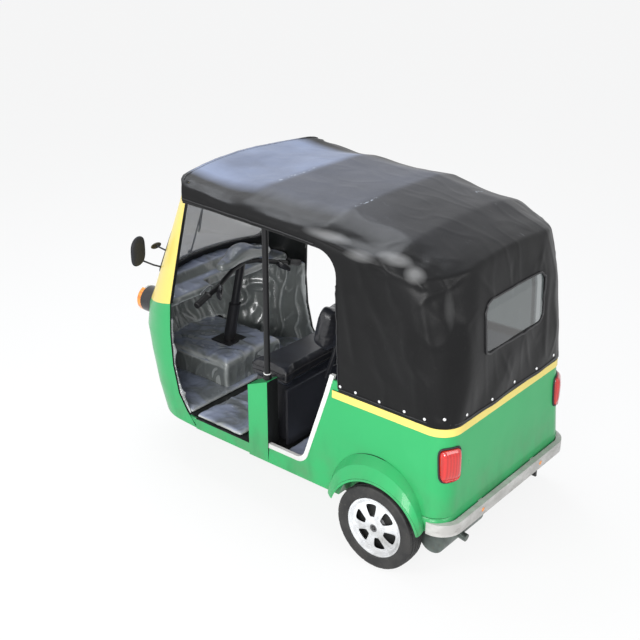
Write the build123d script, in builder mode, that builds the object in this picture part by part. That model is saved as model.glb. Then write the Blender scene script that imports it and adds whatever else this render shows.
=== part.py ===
from build123d import *
import os
from math import cos, radians, sin, tan

# Three-wheeled auto rickshaw with a canvas hood, in millimetres.
# +X is forward, +Y is the driver's left and +Z is up. The origin lies on the
# ground, below the middle of the vehicle's length and width.

os.makedirs("parts", exist_ok=True)

# ---------------------------------------------------------------- overall
overall_length = 2360
overall_width = 1300
overall_height = 1710
front_end = overall_length / 2
rear_end = -overall_length / 2
side_end = overall_width / 2

seat_gap = 0.3        # between a piece and the piece that it lies on
running_gap = 12      # between a turning piece and what is around it

# ---------------------------------------------------------------- wheels
rear_axle_x = rear_end + 390
front_axle_x = front_end - 310
wheel_radius = 225
tyre_width = 112
front_tyre_width = 100
tyre_bead_radius = 156
tyre_bead_inset = 2           # of the beads from the rim's edges
tread_shoulder = 12           # from the tyre's side to the edge of the tread
tread_crown = 4
rim_wall = 6
rim_width = 96
cover_thickness = 8
cover_opening_ring = 96       # radius through the middles of the cover's openings
cover_opening_size = (62, 46)
cover_opening_corner = 14
hub_radius = 34
hub_width = 96
axle_radius = 11
bore_clearance = 0.4
cover_opening_count = 6
wheel_side_gap = 2    # from the tyre's outer face to the overall width
rear_wheel_y = side_end - wheel_side_gap - tyre_width / 2

# ---------------------------------------------------------------- steering
rake_deg = 13
steering_trail_offset = 10    # from the steering axis forward to the front axle
steering_foot_x = front_axle_x - steering_trail_offset
column_radius = 25
column_top = 850              # along the axis, from the height of the axle
crown_bottom = 252
crown_thickness = 24
fork_leg_y = 84
fork_leg_thickness = 18
fork_leg_depth = 44
fork_boss_radius = 24
mudguard_radius = 246
mudguard_wall = 5
mudguard_half_width = 68
mudguard_skirt = 26
mudguard_low_z = 200
bar_radius = 14
grip_radius = 17
grip_length = 110

# ---------------------------------------------------------------- lower body
body_half_width = side_end - 58
body_bottom_z = 285
waist_z = 790
moulding_height = 40
moulding_depth = 6
tub_top_z = 880
tub_wall = 12
tub_front_x = -58
trim_top_z = 906
trim_width = 24
trim_lip = 4
opening_sill_z = 372
opening_foot_x = -306         # the rear edge of the passenger's doorway at the sill
opening_head_x = -457         # and at the top of the trim
opening_corner_radius = 70

# rows: height, half width, rear face x, corner radius
tub_levels = (
    (body_bottom_z, body_half_width, rear_end + 34, 112),
    (waist_z, body_half_width - 46, rear_end + 57, 108),
    (tub_top_z + 40, body_half_width - 51, rear_end + 59, 108),
)

arch_x = rear_axle_x + 10
arch_z = wheel_radius
arch_radius = 255
arch_wall = 8
arch_inner_y = side_end - 155
fender_wall = 7
fender_low_z = 292
# rows: distance from the middle, circle centre ahead of and above the axle, radius
fender_rings = (
    (side_end - 130, 40, 65, 290),
    (side_end - 78, 38, 62, 289),
    (side_end - 28, 22, 36, 284),
    (side_end, 3, -20, 275),
)
fender_box = (rear_end - 20, rear_axle_x + 400, 700)    # lowest and highest x, highest z
rear_apron_low_z = 358
rear_apron_front_x = rear_end + 158

# ---------------------------------------------------------------- front body
apron_wall = 10
frame_wall = 22
lining_wall = 12
roof_z = overall_height
seam_x = front_end - 535      # the seam between the lower and upper colours
seam_z = 990
seam_slope = -0.27
dash_low_z = 890
dash_rear_x = front_end - 390
dash_notch_half_width = 140   # round the steering column
header_top_z = roof_z - 20

# rows: height, then the distances of the side at the door, the bend's x and y, the
# corner's x and y and the nose from the front end and from the overall width
front_rows = (
    (293, 58, 560, 72, 290, 255, 140),
    (450, 58, 500, 73, 255, 225, 55),
    (620, 58, 480, 74, 215, 210, 8),
    (750, 58, 480, 75, 195, 200, 0),
    (880, 59, 490, 76, 220, 200, 52),
    (1000, 60, 520, 78, 280, 200, 154),
    (roof_z - 70, 84, 710, 94, 555, 210, 490),
    (roof_z - 10, 88, 728, 98, 580, 218, 518),
)
front_levels = tuple(
    (height, side_end - side, front_end - bend_x, side_end - bend_y, front_end - corner_x,
     side_end - corner_y, front_end - nose)
    for height, side, bend_x, bend_y, corner_x, corner_y, nose in front_rows)
front_bottom_z = front_levels[0][0]
shell_back_x = front_end - 780
shell_overrun = 60            # of a shell's inside behind its outside, so that it cuts clean

# the front edge of the driver's doorway, from the sill up: distance from the front end, z
door_edge_rows = ((702, 293), (622, 373), (562, 460), (525, 620), (513, 800), (522, 994), (668, roof_z - 70))
door_edge = tuple((front_end - back, z) for back, z in door_edge_rows)

wheelhouse_half_width = 222
wheelhouse_wall = 8
wheelhouse_rear_x = front_end - 584
wheelhouse_top_z = 525
wheelhouse_edge_radius = 48
apron_arch_top_z = 500
apron_arch_radius = 120

glass_thickness = 5
screen_bottom_z = 1050
screen_top_z = roof_z - 110
screen_half_width_low = side_end - 232
screen_half_width_high = side_end - 248
screen_corner_radius = 45

lamp_pod_y = side_end - 285
lamp_pod_z = 845
lamp_pod_radius = 76
lamp_pod_rear_x = front_end - 280
lamp_pod_front_x = front_end - 124
lamp_lens_depth = 26
lamp_lens_inset = 4
indicator_share_y = lamp_pod_y + 26
indicator_gap = 2

mirror_centre = (front_end - 291, side_end - 90, 1225)
mirror_width = 100
mirror_height = 176
mirror_depth = 34
mirror_corner_radius = 30
mirror_taper_deg = 14
mirror_arm_root = (front_end - 330, side_end - 210, 1108)
mirror_arm_radius = 7
spot_centre = (front_end - 255, side_end - 245, 1208)
spot_radii = (38, 17)
spot_depth = 14
spot_arm_root = (front_end - 390, side_end - 220)
spot_arm_radius = 5

# the wiper's pivot, arm and blade: start, end, radius
wiper_rods = (
    ((front_end - 190, 60, 1040), (front_end - 145, 60, 1052), 12),
    ((front_end - 160, 60, 1052), (front_end - 250, 40, 1330), 5),
    ((front_end - 205, 30, 1180), (front_end - 295, 50, 1480), 6),
)

# ---------------------------------------------------------------- floor, pillars
floor_top_z = 352
floor_thickness = 12
floor_half_width = side_end - 80
sill_wall = 12
sill_top_inner_y = side_end - 90
sill_top_outer_y = side_end - 65
sill_front_x = door_edge[0][0]
toe_front_x = front_end - 60
rail_y = 250
rail_width = 40
rail_height = 58
rail_front_x = front_end - 620
rail_rear_x = rear_end + 85
cross_xs = (rail_front_x - 80, 20, -440, rail_rear_x + 20)
cross_half_depth = 20
cross_lift = 8                # of the cross members above the rails' undersides
mat_thickness = 18
mat_margin = 12

pillar_front_x = tub_front_x + 135
pillar_inner_y = body_half_width - 82
pillar_outer_y = body_half_width
pillar_top_z = 755
pillar_front_top_z = 700
post_radius = 16
post_x = tub_front_x + 28
post_y = body_half_width - 36
post_collar_radius = 22
post_collar_height = 30

# ---------------------------------------------------------------- seats
driver_cushion_rear_x = -85
driver_cushion_front_x = 195
driver_cushion_half_width = side_end - 170
driver_cushion_thickness = 92
driver_cushion_top_z = 766
driver_base_front_x = 150
driver_base_half_width = side_end - 210
partition_x = -110
partition_thickness = 14
partition_half_width = side_end - 150
partition_top_z = 690
driver_back_half_width = 300
driver_back_thickness = 90
driver_back_low = (-77, 846)      # the front face: x, z
driver_back_high = (-145, 1104)
back_post_radius = 13
back_post_y = 190

bench_base_front_x = rear_end + 590
bench_base_rear_x = rear_end + 95
bench_base_half_width = side_end - 170
bench_base_top_z = 620
bench_cushion_thickness = 105
bench_cushion_half_width = side_end - 130
bench_overhang = 25
bench_back_thickness = 95
bench_back_top_z = 1160
bench_back_half_width = side_end - 250
bench_back_stand_off = 4
cushion_edge_radius = 22
bench_edge_radius = 24
panel_thickness = 12

# ---------------------------------------------------------------- hood
canvas = 5
hood_hem_z = 833
hood_half_width = side_end - 70
section_margin = 2            # of a section's sides beyond the plan that cuts them
hood_split_z = roof_z - 210
hood_rear_split_x = rear_end + 172
# rows: height, half width, rear face x, corner radius
hood_levels = (
    (hood_hem_z, side_end - 100.5, rear_end + 49, 112),
    (hood_hem_z + 207, side_end - 84, rear_end + 56, 172),
    (roof_z - 380, side_end - 71, rear_end + 68, 250),
    (hood_split_z, hood_half_width, rear_end + 94, 295),
    (roof_z + 10, hood_half_width, rear_end + 140, 310),
)
# rows: x, shoulder height, crown height, shoulder radius
hood_stations = (
    (front_end - 490, roof_z - 12, roof_z, 80),
    (95, roof_z - 8, roof_z, 85),
    (-400, roof_z - 20, roof_z - 4, 95),
    (rear_end + 610, roof_z - 52, roof_z - 22, 105),
    (rear_end + 400, roof_z - 84, roof_z - 55, 115),
    (rear_end + 280, roof_z - 132, roof_z - 88, 125),
    (rear_end + 116, roof_z - 195, roof_z - 137, 130),
    (rear_end + 30, roof_z - 330, roof_z - 290, 130),
)
# the roof's front edge in plan: x, distance from the middle
hood_nose = (
    (front_end - 512, 0),
    (front_end - 566, side_end - 250),
    (front_end - 595, side_end - 150),
    (front_end - 640, side_end - 90),
    (front_end - 660, side_end),
)
valance_front_x = front_end - 657
valance_front_z = roof_z - 114
valance_mid_x = -149
valance_mid_z = roof_z - 139
curtain_front_x = opening_head_x - 35
curtain_corner_radius = 120
curtain_low_z = 700           # below the hem
window_half_width = 260
window_high_z = roof_z - 330
window_low_z = window_high_z - 255
window_radius = 45
bow_size = 22
bow_xs = (118, -405, rear_end + 400, rear_end + 180)
rail_low_z = roof_z - 125
side_rail_front_x = front_end - 662

# ---------------------------------------------------------------- rear
bumper_height = 64
bumper_low_z = 284
bumper_depth = 30
bumper_web = 5
bumper_corner_radius = 118
bumper_half_width = body_half_width - 4
bumper_front_x = rear_end + 126
bumper_bracket_half_width = 15
bumper_rear_x = rear_end
lamp_height = 150
lamp_width = 112
lamp_corner_radius = 18
lamp_z = 645
lamp_depth = 34
lamp_turn_deg = 62
engine_front_x = rear_axle_x + 160
engine_rear_x = rear_axle_x - 160
engine_half_width = 190
engine_low_z = 190
engine_top_z = 560
engine_mount_low_z = 290
engine_mount_high_z = 330
engine_mount_half_depth = 30
muffler_radius = 70
muffler_x = rear_end + 140
muffler_z = 196
muffler_y0 = 150
muffler_y1 = 505
exhaust_y = 160
exhaust_radius = 18
tail_pipe_y = 340
tail_pipe_end_x = rear_end + 45
tail_pipe_radius = 20
hanger_half_width = 15
arm_pivot_x = cross_xs[2]
arm_pivot_z = 262
arm_y = side_end - 210
arm_thickness = 50
arm_pivot_radius = 18
drive_shaft_radius = 15
stub_radius = 30
damper_x = rear_axle_x + 100
damper_radius = 26
damper_top_z = 480


def plan_sketch(level, grow, front_x):
    """Outline of the tub or hood at one height, open corners at the front."""
    height, half_width, rear_x, radius = level
    w = half_width + grow
    back = rear_x - grow
    r = radius + grow
    k = r * cos(radians(45))
    with BuildSketch(Plane.XY.offset(height)) as sketch:
        with BuildLine():
            Line((front_x, -w), (front_x, w))
            Line((front_x, w), (back + r, w))
            ThreePointArc((back + r, w), (back + r - k, w - r + k), (back, w - r))
            Line((back, w - r), (back, -w + r))
            ThreePointArc((back, -w + r), (back + r - k, -w + r - k), (back + r, -w))
            Line((back + r, -w), (front_x, -w))
        make_face()
    return sketch.sketch


def plan_solid(levels, grow, front_x):
    with BuildPart() as solid:
        for level in levels:
            add(plan_sketch(level, grow, front_x))
        loft(ruled=True)
    return solid.part


def front_solid(inset, back_x):
    """The front body's outer form, or the space inside it at a wall's depth."""
    diagonal = inset * cos(radians(45))
    with BuildPart() as solid:
        for height, side_y, bend_x, bend_y, corner_x, corner_y, nose_x in front_levels:
            bend = (bend_x, bend_y - inset)
            corner = (corner_x - diagonal, corner_y - diagonal)
            nose = (nose_x - inset, 0)
            heading = (bend_x - shell_back_x, bend_y - side_y)
            side = side_y - inset + (back_x - shell_back_x) * heading[1] / heading[0]
            start = (back_x, side)
            with BuildSketch(Plane.XY.offset(height)):
                with BuildLine():
                    Line((start[0], -side), start)
                    Line(start, bend)
                    TangentArc(bend, corner, tangent=heading)
                    ThreePointArc(corner, nose, (corner[0], -corner[1]))
                    TangentArc((bend[0], -bend[1]), (corner[0], -corner[1]), tangent=(heading[0], -heading[1]))
                    Line((bend[0], -bend[1]), (start[0], -side))
                make_face()
        loft(ruled=True)
    return solid.part


def side_prism(points, y0=-side_end, y1=side_end):
    """A prism across the vehicle from an outline in the side view: x, z."""
    with BuildPart() as prism:
        with BuildSketch(Plane.XZ.offset(-y1)):
            with BuildLine():
                Polyline(*points, close=True)
            make_face()
        extrude(amount=y1 - y0)
    return prism.part


def block(x0, x1, y0, y1, z0, z1):
    """A plain block between two corners."""
    with BuildPart() as solid:
        with Locations(((x0 + x1) / 2, (y0 + y1) / 2, (z0 + z1) / 2)):
            Box(x1 - x0, y1 - y0, z1 - z0)
    return solid.part


def rod(start, end, radius):
    """A round bar from one point to another."""
    path = Vector(*end) - Vector(*start)
    with BuildPart() as solid:
        with BuildSketch(Plane(origin=start, z_dir=path)):
            Circle(radius)
        extrude(amount=path.length)
    return solid.part


def hood_solid(inset):
    """The hood's outer form, or the space inside it, down to the hem."""
    with BuildPart() as solid:
        for x, shoulder_z, crown_z, radius in hood_stations:
            w = hood_half_width + section_margin - inset
            top = shoulder_z - inset
            with BuildSketch(Plane.YZ.offset(x)) as section:
                with BuildLine():
                    Line((-w, hood_hem_z - 20), (w, hood_hem_z - 20))
                    Line((w, hood_hem_z - 20), (w, top))
                    ThreePointArc((w, top), (0, crown_z - inset), (-w, top))
                    Line((-w, top), (-w, hood_hem_z - 20))
                make_face()
                shoulders = section.vertices().group_by(Axis.Y)[-1]
                fillet(shoulders, radius=radius - inset)
        loft(ruled=True)
        add(plan_solid(hood_levels, -inset, hood_stations[0][0] + 10), mode=Mode.INTERSECT)
    return solid.part


def save(part, name):
    part.label = name
    export_step(part, f"parts/{name}.step")


# ================================================================ shared forms
tub_outer = plan_solid(tub_levels, 0, tub_front_x)
tub_inner = plan_solid(tub_levels, -tub_wall, tub_front_x + 50)
front_outer = front_solid(0, shell_back_x)
seam_low = ((shell_back_x - 50, 200), (shell_back_x - 50, seam_z + seam_slope * (shell_back_x - 50 - seam_x)),
            (front_end + 50, seam_z + seam_slope * (front_end + 50 - seam_x)), (front_end + 50, 200))
below_seam = side_prism(seam_low)
door_back_x = shell_back_x - 100
door_cut = side_prism(((door_back_x, 200), (door_edge[0][0] - 58, 200)) + door_edge
                      + ((door_edge[-1][0] - 25, roof_z + 50), (door_back_x, roof_z + 50)))
wheelhouse_space = block(wheelhouse_rear_x - wheelhouse_wall, front_end, -wheelhouse_half_width - wheelhouse_wall,
                         wheelhouse_half_width + wheelhouse_wall, 200, floor_top_z + mat_thickness + 10)
hood_outer = hood_solid(0)
hood_inner = hood_solid(canvas)
hood_underside = hood_solid(canvas + 2 * seat_gap)

opening_slope = (opening_head_x - opening_foot_x) / (trim_top_z - opening_sill_z)


def doorway_outline(inset):
    """The passenger's doorway in the side view, shrunk by the width of its trim."""
    low = opening_sill_z + inset
    foot = opening_foot_x + opening_slope * (low - opening_sill_z) + inset * 1.04
    head_z = 1000
    head = foot + opening_slope * (head_z - low)
    with BuildPart() as prism:
        with BuildSketch(Plane.XZ.offset(-side_end - 50)) as outline:
            with BuildLine():
                Polyline((200, low), (foot, low), (head, head_z), (200, head_z), close=True)
            make_face()
            corner = outline.vertices().group_by(Axis.Y)[0].sort_by(Axis.X)[0]
            fillet(corner, radius=opening_corner_radius - inset / 2)
        extrude(amount=overall_width + 100)
    return prism.part


doorway = doorway_outline(0)
doorway_inside_trim = doorway_outline(trim_width)

# ================================================================ chassis
with BuildPart() as chassis_frame:
    for side in (-1, 1):
        add(block(rail_rear_x, rail_front_x, side * rail_y - rail_width / 2, side * rail_y + rail_width / 2,
                  floor_top_z - floor_thickness - rail_height, floor_top_z - floor_thickness))
    for cross_x in cross_xs:
        add(block(cross_x - cross_half_depth, cross_x + cross_half_depth, -rail_y, rail_y,
                  floor_top_z - floor_thickness - rail_height + cross_lift, floor_top_z - floor_thickness))
save(chassis_frame.part, "chassis_frame")

floor_low_z = floor_top_z - floor_thickness
with BuildPart() as arch_space:
    for side in (-1, 1):
        add(rod((arch_x, side * (arch_inner_y - arch_wall - seat_gap), arch_z), (arch_x, side * side_end, arch_z),
                arch_radius + arch_wall + seat_gap))
with BuildPart() as floor_pan:
    add(block(bench_base_front_x - 20, sill_front_x, -floor_half_width, floor_half_width, floor_low_z, floor_top_z))
    with BuildPart(mode=Mode.PRIVATE) as toe_board:
        add(front_solid(apron_wall + seat_gap, shell_back_x))
        add(block(sill_front_x, toe_front_x, -side_end, side_end, floor_low_z, floor_top_z), mode=Mode.INTERSECT)
    add(toe_board.part)
    for side in (-1, 1):
        add(block(pillar_front_x, sill_front_x, side * (pillar_outer_y - sill_wall / 2) - sill_wall / 2,
                  side * (pillar_outer_y - sill_wall / 2) + sill_wall / 2, front_bottom_z, floor_top_z))
        y0, y1 = sorted((side * sill_top_inner_y, side * sill_top_outer_y))
        add(block(pillar_front_x, sill_front_x, y0, y1, floor_low_z, floor_top_z))
    add(wheelhouse_space, mode=Mode.SUBTRACT)
    add(arch_space.part, mode=Mode.SUBTRACT)
save(floor_pan.part, "floor_pan")

with BuildPart() as floor_mats:
    mat_half_width = floor_half_width - mat_margin
    add(block(bench_base_front_x + seat_gap, driver_cushion_rear_x - 60, -mat_half_width, mat_half_width,
              floor_top_z, floor_top_z + mat_thickness))
    add(arch_space.part, mode=Mode.SUBTRACT)
    add(block(driver_base_front_x + 10, sill_front_x, -floor_half_width, floor_half_width,
              floor_top_z, floor_top_z + mat_thickness))
    with BuildPart(mode=Mode.PRIVATE) as toe_mat:
        add(front_solid(apron_wall + lining_wall + 2 * seat_gap, shell_back_x))
        add(block(sill_front_x, toe_front_x, -mat_half_width, mat_half_width, floor_top_z,
                  floor_top_z + mat_thickness), mode=Mode.INTERSECT)
        add(door_cut, mode=Mode.SUBTRACT)
        add(wheelhouse_space, mode=Mode.SUBTRACT)
    add(toe_mat.part)
save(floor_mats.part, "floor_mats")

# ================================================================ front body
with BuildPart() as wheel_arch:
    with BuildSketch(Plane.YZ.offset(wheelhouse_rear_x)):
        with Locations((0, apron_arch_top_z / 2)):
            Rectangle(2 * wheelhouse_half_width, apron_arch_top_z)
    extrude(amount=front_end)
    arch_corners = wheel_arch.edges().filter_by(Axis.X).group_by(Axis.Z)[-1]
    fillet(arch_corners, radius=apron_arch_radius)

with BuildPart() as front_apron:
    add(front_outer)
    add(front_solid(apron_wall, shell_back_x - shell_overrun), mode=Mode.SUBTRACT)
    add(below_seam, mode=Mode.INTERSECT)
    add(door_cut, mode=Mode.SUBTRACT)
    add(wheel_arch.part, mode=Mode.SUBTRACT)
save(front_apron.part, "front_apron")

with BuildPart() as screen_hole:
    with BuildSketch(Plane.YZ.offset(shell_back_x)):
        with BuildLine():
            Polyline((-screen_half_width_low, screen_bottom_z), (screen_half_width_low, screen_bottom_z),
                     (screen_half_width_high, screen_top_z), (-screen_half_width_high, screen_top_z), close=True)
        make_face()
    extrude(amount=front_end)
    fillet(screen_hole.edges().filter_by(Axis.X), radius=screen_corner_radius)

with BuildPart() as windshield_frame:
    add(front_outer)
    add(front_solid(frame_wall, shell_back_x - shell_overrun), mode=Mode.SUBTRACT)
    add(below_seam, mode=Mode.SUBTRACT)
    add(door_cut, mode=Mode.SUBTRACT)
    add(screen_hole.part, mode=Mode.SUBTRACT)
    add(block(0, front_end, -side_end, side_end, 0, header_top_z), mode=Mode.INTERSECT)
    with BuildPart(mode=Mode.PRIVATE) as above_hood_lining:
        add(block(door_back_x, hood_stations[0][0] + 10, -side_end, side_end, hood_split_z, overall_height + 20))
        add(hood_underside, mode=Mode.SUBTRACT)
    add(above_hood_lining.part, mode=Mode.SUBTRACT)
save(windshield_frame.part, "windshield_frame")

with BuildPart() as windshield_glass:
    add(front_solid(frame_wall / 2 - glass_thickness / 2, shell_back_x))
    add(front_solid(frame_wall / 2 + glass_thickness / 2, shell_back_x - shell_overrun), mode=Mode.SUBTRACT)
    add(screen_hole.part, mode=Mode.INTERSECT)
save(windshield_glass.part, "windshield_glass")


def wheelhouse_solid(grow):
    """The wheelhouse's form with its top edges rounded, running on ahead and below."""
    with BuildPart() as house:
        add(block(wheelhouse_rear_x - grow, front_end + 100, -wheelhouse_half_width - grow,
                  wheelhouse_half_width + grow, 0, wheelhouse_top_z + grow))
        fillet(house.faces().sort_by(Axis.Z)[-1].edges(), radius=wheelhouse_edge_radius - wheelhouse_wall + grow)
    return house.part


with BuildPart() as front_wheelhouse:
    add(wheelhouse_solid(wheelhouse_wall))
    add(wheelhouse_solid(0), mode=Mode.SUBTRACT)
    add(block(0, front_end, -side_end, side_end, front_bottom_z, roof_z), mode=Mode.INTERSECT)
    add(front_solid(apron_wall + seat_gap, shell_back_x), mode=Mode.INTERSECT)
    column_foot = (steering_foot_x, 0, wheel_radius)
    column_way = (-sin(radians(rake_deg)), 0, cos(radians(rake_deg)))
    column_head = tuple(column_foot[i] + column_way[i] * column_top for i in range(3))
    add(rod(column_foot, column_head, column_radius + running_gap), mode=Mode.SUBTRACT)
save(front_wheelhouse.part, "front_wheelhouse")

with BuildPart() as apron_lining:
    add(front_solid(apron_wall + seat_gap, shell_back_x))
    add(front_solid(apron_wall + seat_gap + lining_wall, shell_back_x - shell_overrun), mode=Mode.SUBTRACT)
    add(block(sill_front_x, front_end, -side_end, side_end, floor_top_z + seat_gap, dash_low_z), mode=Mode.INTERSECT)
    add(below_seam, mode=Mode.INTERSECT)
    add(door_cut, mode=Mode.SUBTRACT)
    add(block(wheelhouse_rear_x - 20, front_end, -wheelhouse_half_width - wheelhouse_wall - seat_gap,
              wheelhouse_half_width + wheelhouse_wall + seat_gap, 0,
              wheelhouse_top_z + wheelhouse_wall + seat_gap), mode=Mode.SUBTRACT)
save(apron_lining.part, "apron_lining")

# rows of the dashboard's side view: x, z
dash_outline = ((dash_rear_x, dash_low_z), (dash_rear_x, 930), (dash_rear_x + 90, 955), (dash_rear_x + 115, 1012),
                (front_end - 30, 1012), (front_end - 30, dash_low_z))
with BuildPart() as dashboard:
    add(front_solid(frame_wall + seat_gap, shell_back_x))
    add(side_prism(dash_outline), mode=Mode.INTERSECT)
    add(block(dash_rear_x - 90, dash_rear_x + 60, -dash_notch_half_width, dash_notch_half_width, 800, 1100),
        mode=Mode.SUBTRACT)
save(dashboard.part, "dashboard")

with BuildPart() as lamp_bezels:
    for side in (-1, 1):
        add(rod((lamp_pod_rear_x, side * lamp_pod_y, lamp_pod_z), (lamp_pod_front_x, side * lamp_pod_y, lamp_pod_z),
                lamp_pod_radius))
    add(front_outer, mode=Mode.SUBTRACT)
save(lamp_bezels.part, "lamp_bezels")

with BuildPart() as headlamps:
    for side in (-1, 1):
        add(rod((lamp_pod_front_x, side * lamp_pod_y, lamp_pod_z),
                (lamp_pod_front_x + lamp_lens_depth, side * lamp_pod_y, lamp_pod_z), lamp_pod_radius - lamp_lens_inset))
        y0, y1 = sorted((side * indicator_share_y, side * side_end))
        add(block(lamp_pod_front_x - 20, front_end, y0, y1, 0, overall_height), mode=Mode.SUBTRACT)
    add(front_outer, mode=Mode.SUBTRACT)
save(headlamps.part, "headlamps")

with BuildPart() as front_indicators:
    for side in (-1, 1):
        with BuildPart(mode=Mode.PRIVATE) as crescent:
            add(rod((lamp_pod_front_x, side * lamp_pod_y, lamp_pod_z),
                    (lamp_pod_front_x + lamp_lens_depth, side * lamp_pod_y, lamp_pod_z), lamp_pod_radius))
            y0, y1 = sorted((side * (indicator_share_y + indicator_gap), side * side_end))
            add(block(lamp_pod_front_x - 20, front_end, y0, y1, 0, overall_height), mode=Mode.INTERSECT)
        add(crescent.part)
save(front_indicators.part, "front_indicators")

with BuildPart() as mirrors:
    for side in (-1, 1):
        mx, my, mz = mirror_centre
        with BuildPart(mode=Mode.PRIVATE) as head:
            with BuildSketch(Plane(origin=(mx, side * my, mz), z_dir=(1, 0, 0), x_dir=(0, 1, 0))):
                RectangleRounded(mirror_width, mirror_height, mirror_corner_radius)
            extrude(amount=mirror_depth, taper=mirror_taper_deg)
        add(head.part)
        rx, ry, rz = mirror_arm_root
        add(rod((rx, side * ry, rz), (mx + mirror_depth / 2, side * (my - 20), mz - 40), mirror_arm_radius))
        sx, sy, sz = spot_centre
        with BuildPart(mode=Mode.PRIVATE) as spot:
            with BuildSketch(Plane(origin=(sx, side * sy, sz), z_dir=(1, 0, 0), x_dir=(0, 1, 0))):
                Ellipse(*spot_radii)
            extrude(amount=spot_depth)
        add(spot.part)
        add(rod((spot_arm_root[0], side * spot_arm_root[1], sz), (sx + spot_depth / 2, side * sy, sz), spot_arm_radius))
    add(front_outer, mode=Mode.SUBTRACT)
save(mirrors.part, "mirrors")

with BuildPart() as wiper:
    for start, end, radius in wiper_rods:
        add(rod(start, end, radius))
    add(front_outer, mode=Mode.SUBTRACT)
save(wiper.part, "wiper")

# ================================================================ pillars
pillar_outline = ((tub_front_x, body_bottom_z), (pillar_front_x, body_bottom_z), (pillar_front_x, pillar_front_top_z),
                  (post_x - 20, pillar_top_z), (tub_front_x, pillar_top_z))
with BuildPart() as pillar_boxes:
    for side in (-1, 1):
        y0, y1 = sorted((side * pillar_inner_y, side * pillar_outer_y))
        add(side_prism(pillar_outline, y0, y1))
    add(block(tub_front_x - 1, pillar_front_x + 1, -floor_half_width, floor_half_width, body_bottom_z - 1, floor_top_z),
        mode=Mode.SUBTRACT)
save(pillar_boxes.part, "pillar_boxes")

# ================================================================ seats
with BuildPart() as driver_seat_base:
    add(block(partition_x + partition_thickness / 2, driver_base_front_x, -driver_base_half_width,
              driver_base_half_width, floor_top_z, driver_cushion_top_z - driver_cushion_thickness))
    add(block(partition_x + partition_thickness / 2 + panel_thickness, driver_base_front_x - panel_thickness,
              -driver_base_half_width + panel_thickness, driver_base_half_width - panel_thickness, floor_top_z - 1,
              driver_cushion_top_z - driver_cushion_thickness - panel_thickness), mode=Mode.SUBTRACT)
save(driver_seat_base.part, "driver_seat_base")

with BuildPart() as driver_seat_cushion:
    add(block(driver_cushion_rear_x, driver_cushion_front_x, -driver_cushion_half_width, driver_cushion_half_width,
              driver_cushion_top_z - driver_cushion_thickness + seat_gap, driver_cushion_top_z))
    fillet(driver_seat_cushion.edges(), radius=cushion_edge_radius)
save(driver_seat_cushion.part, "driver_seat_cushion")

back_lean = Vector(driver_back_high[0] - driver_back_low[0], 0, driver_back_high[1] - driver_back_low[1])
back_normal = Vector(back_lean.Z, 0, -back_lean.X).normalized()
with BuildPart() as driver_seat_back:
    with BuildSketch(Plane(origin=(driver_back_low[0], 0, driver_back_low[1]), z_dir=back_normal, x_dir=(0, 1, 0))):
        with Locations((0, back_lean.length / 2)):
            RectangleRounded(2 * driver_back_half_width, back_lean.length, 60)
    extrude(amount=-driver_back_thickness)
    fillet(driver_seat_back.faces().filter_by(GeomType.PLANE).sort_by(Axis.X)[-1].edges(),
           radius=cushion_edge_radius)
save(driver_seat_back.part, "driver_seat_back")

post_offset = driver_back_thickness + seat_gap + back_post_radius
with BuildPart() as partition:
    add(block(partition_x - partition_thickness / 2, partition_x + partition_thickness / 2, -partition_half_width,
              partition_half_width, floor_top_z + mat_thickness, partition_top_z))
    for side in (-1, 1):
        corner = Vector(driver_back_low[0], side * back_post_y, driver_back_low[1]) - back_normal * post_offset
        low = corner - back_lean * 0.12
        high = corner + back_lean * 0.8
        foot = Vector(partition_x - 8, side * back_post_y, partition_top_z - 40)
        add(rod(tuple(foot), tuple(low), back_post_radius))
        add(rod(tuple(low), tuple(high), back_post_radius))
        with Locations(tuple(low)):
            Sphere(back_post_radius)
save(partition.part, "partition")

with BuildPart() as bench_base:
    add(block(bench_base_rear_x, bench_base_front_x, -bench_base_half_width, bench_base_half_width, floor_top_z,
              bench_base_top_z))
    add(block(bench_base_rear_x - 15, bench_base_front_x - panel_thickness, -bench_base_half_width + panel_thickness,
              bench_base_half_width - panel_thickness, floor_top_z - 1, bench_base_top_z - panel_thickness),
        mode=Mode.SUBTRACT)
save(bench_base.part, "bench_base")

tub_back_inner_x = tub_levels[1][2] + tub_wall
with BuildPart() as bench_cushion:
    add(block(tub_back_inner_x + bench_back_thickness + 10, bench_base_front_x + bench_overhang,
              -bench_cushion_half_width, bench_cushion_half_width, bench_base_top_z + seat_gap,
              bench_base_top_z + bench_cushion_thickness))
    fillet(bench_cushion.edges(), radius=bench_edge_radius)
save(bench_cushion.part, "bench_cushion")

with BuildPart() as bench_back:
    bench_back_rear_x = tub_back_inner_x + bench_back_stand_off
    add(block(bench_back_rear_x, bench_back_rear_x + bench_back_thickness, -bench_back_half_width,
              bench_back_half_width, bench_base_top_z + seat_gap, bench_back_top_z))
    fillet(bench_back.edges(), radius=bench_edge_radius)
save(bench_back.part, "bench_back")

# ================================================================ rear body
with BuildPart() as rear_tub:
    add(tub_outer)
    add(tub_inner, mode=Mode.SUBTRACT)
    add(block(rear_end, tub_front_x, -side_end, side_end, 0, tub_top_z), mode=Mode.INTERSECT)
    add(doorway, mode=Mode.SUBTRACT)
    with BuildPart(mode=Mode.PRIVATE) as houses:
        for side in (-1, 1):
            add(rod((arch_x, side * (arch_inner_y - arch_wall), arch_z), (arch_x, side * side_end, arch_z),
                    arch_radius + arch_wall))
        add(tub_outer, mode=Mode.INTERSECT)
    add(houses.part)
    for side in (-1, 1):
        add(rod((arch_x, side * arch_inner_y, arch_z), (arch_x, side * side_end, arch_z), arch_radius),
            mode=Mode.SUBTRACT)
    add(block(rear_end - 20, rear_apron_front_x, -side_end, side_end, 0, rear_apron_low_z), mode=Mode.SUBTRACT)
save(rear_tub.part, "rear_tub")

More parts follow.
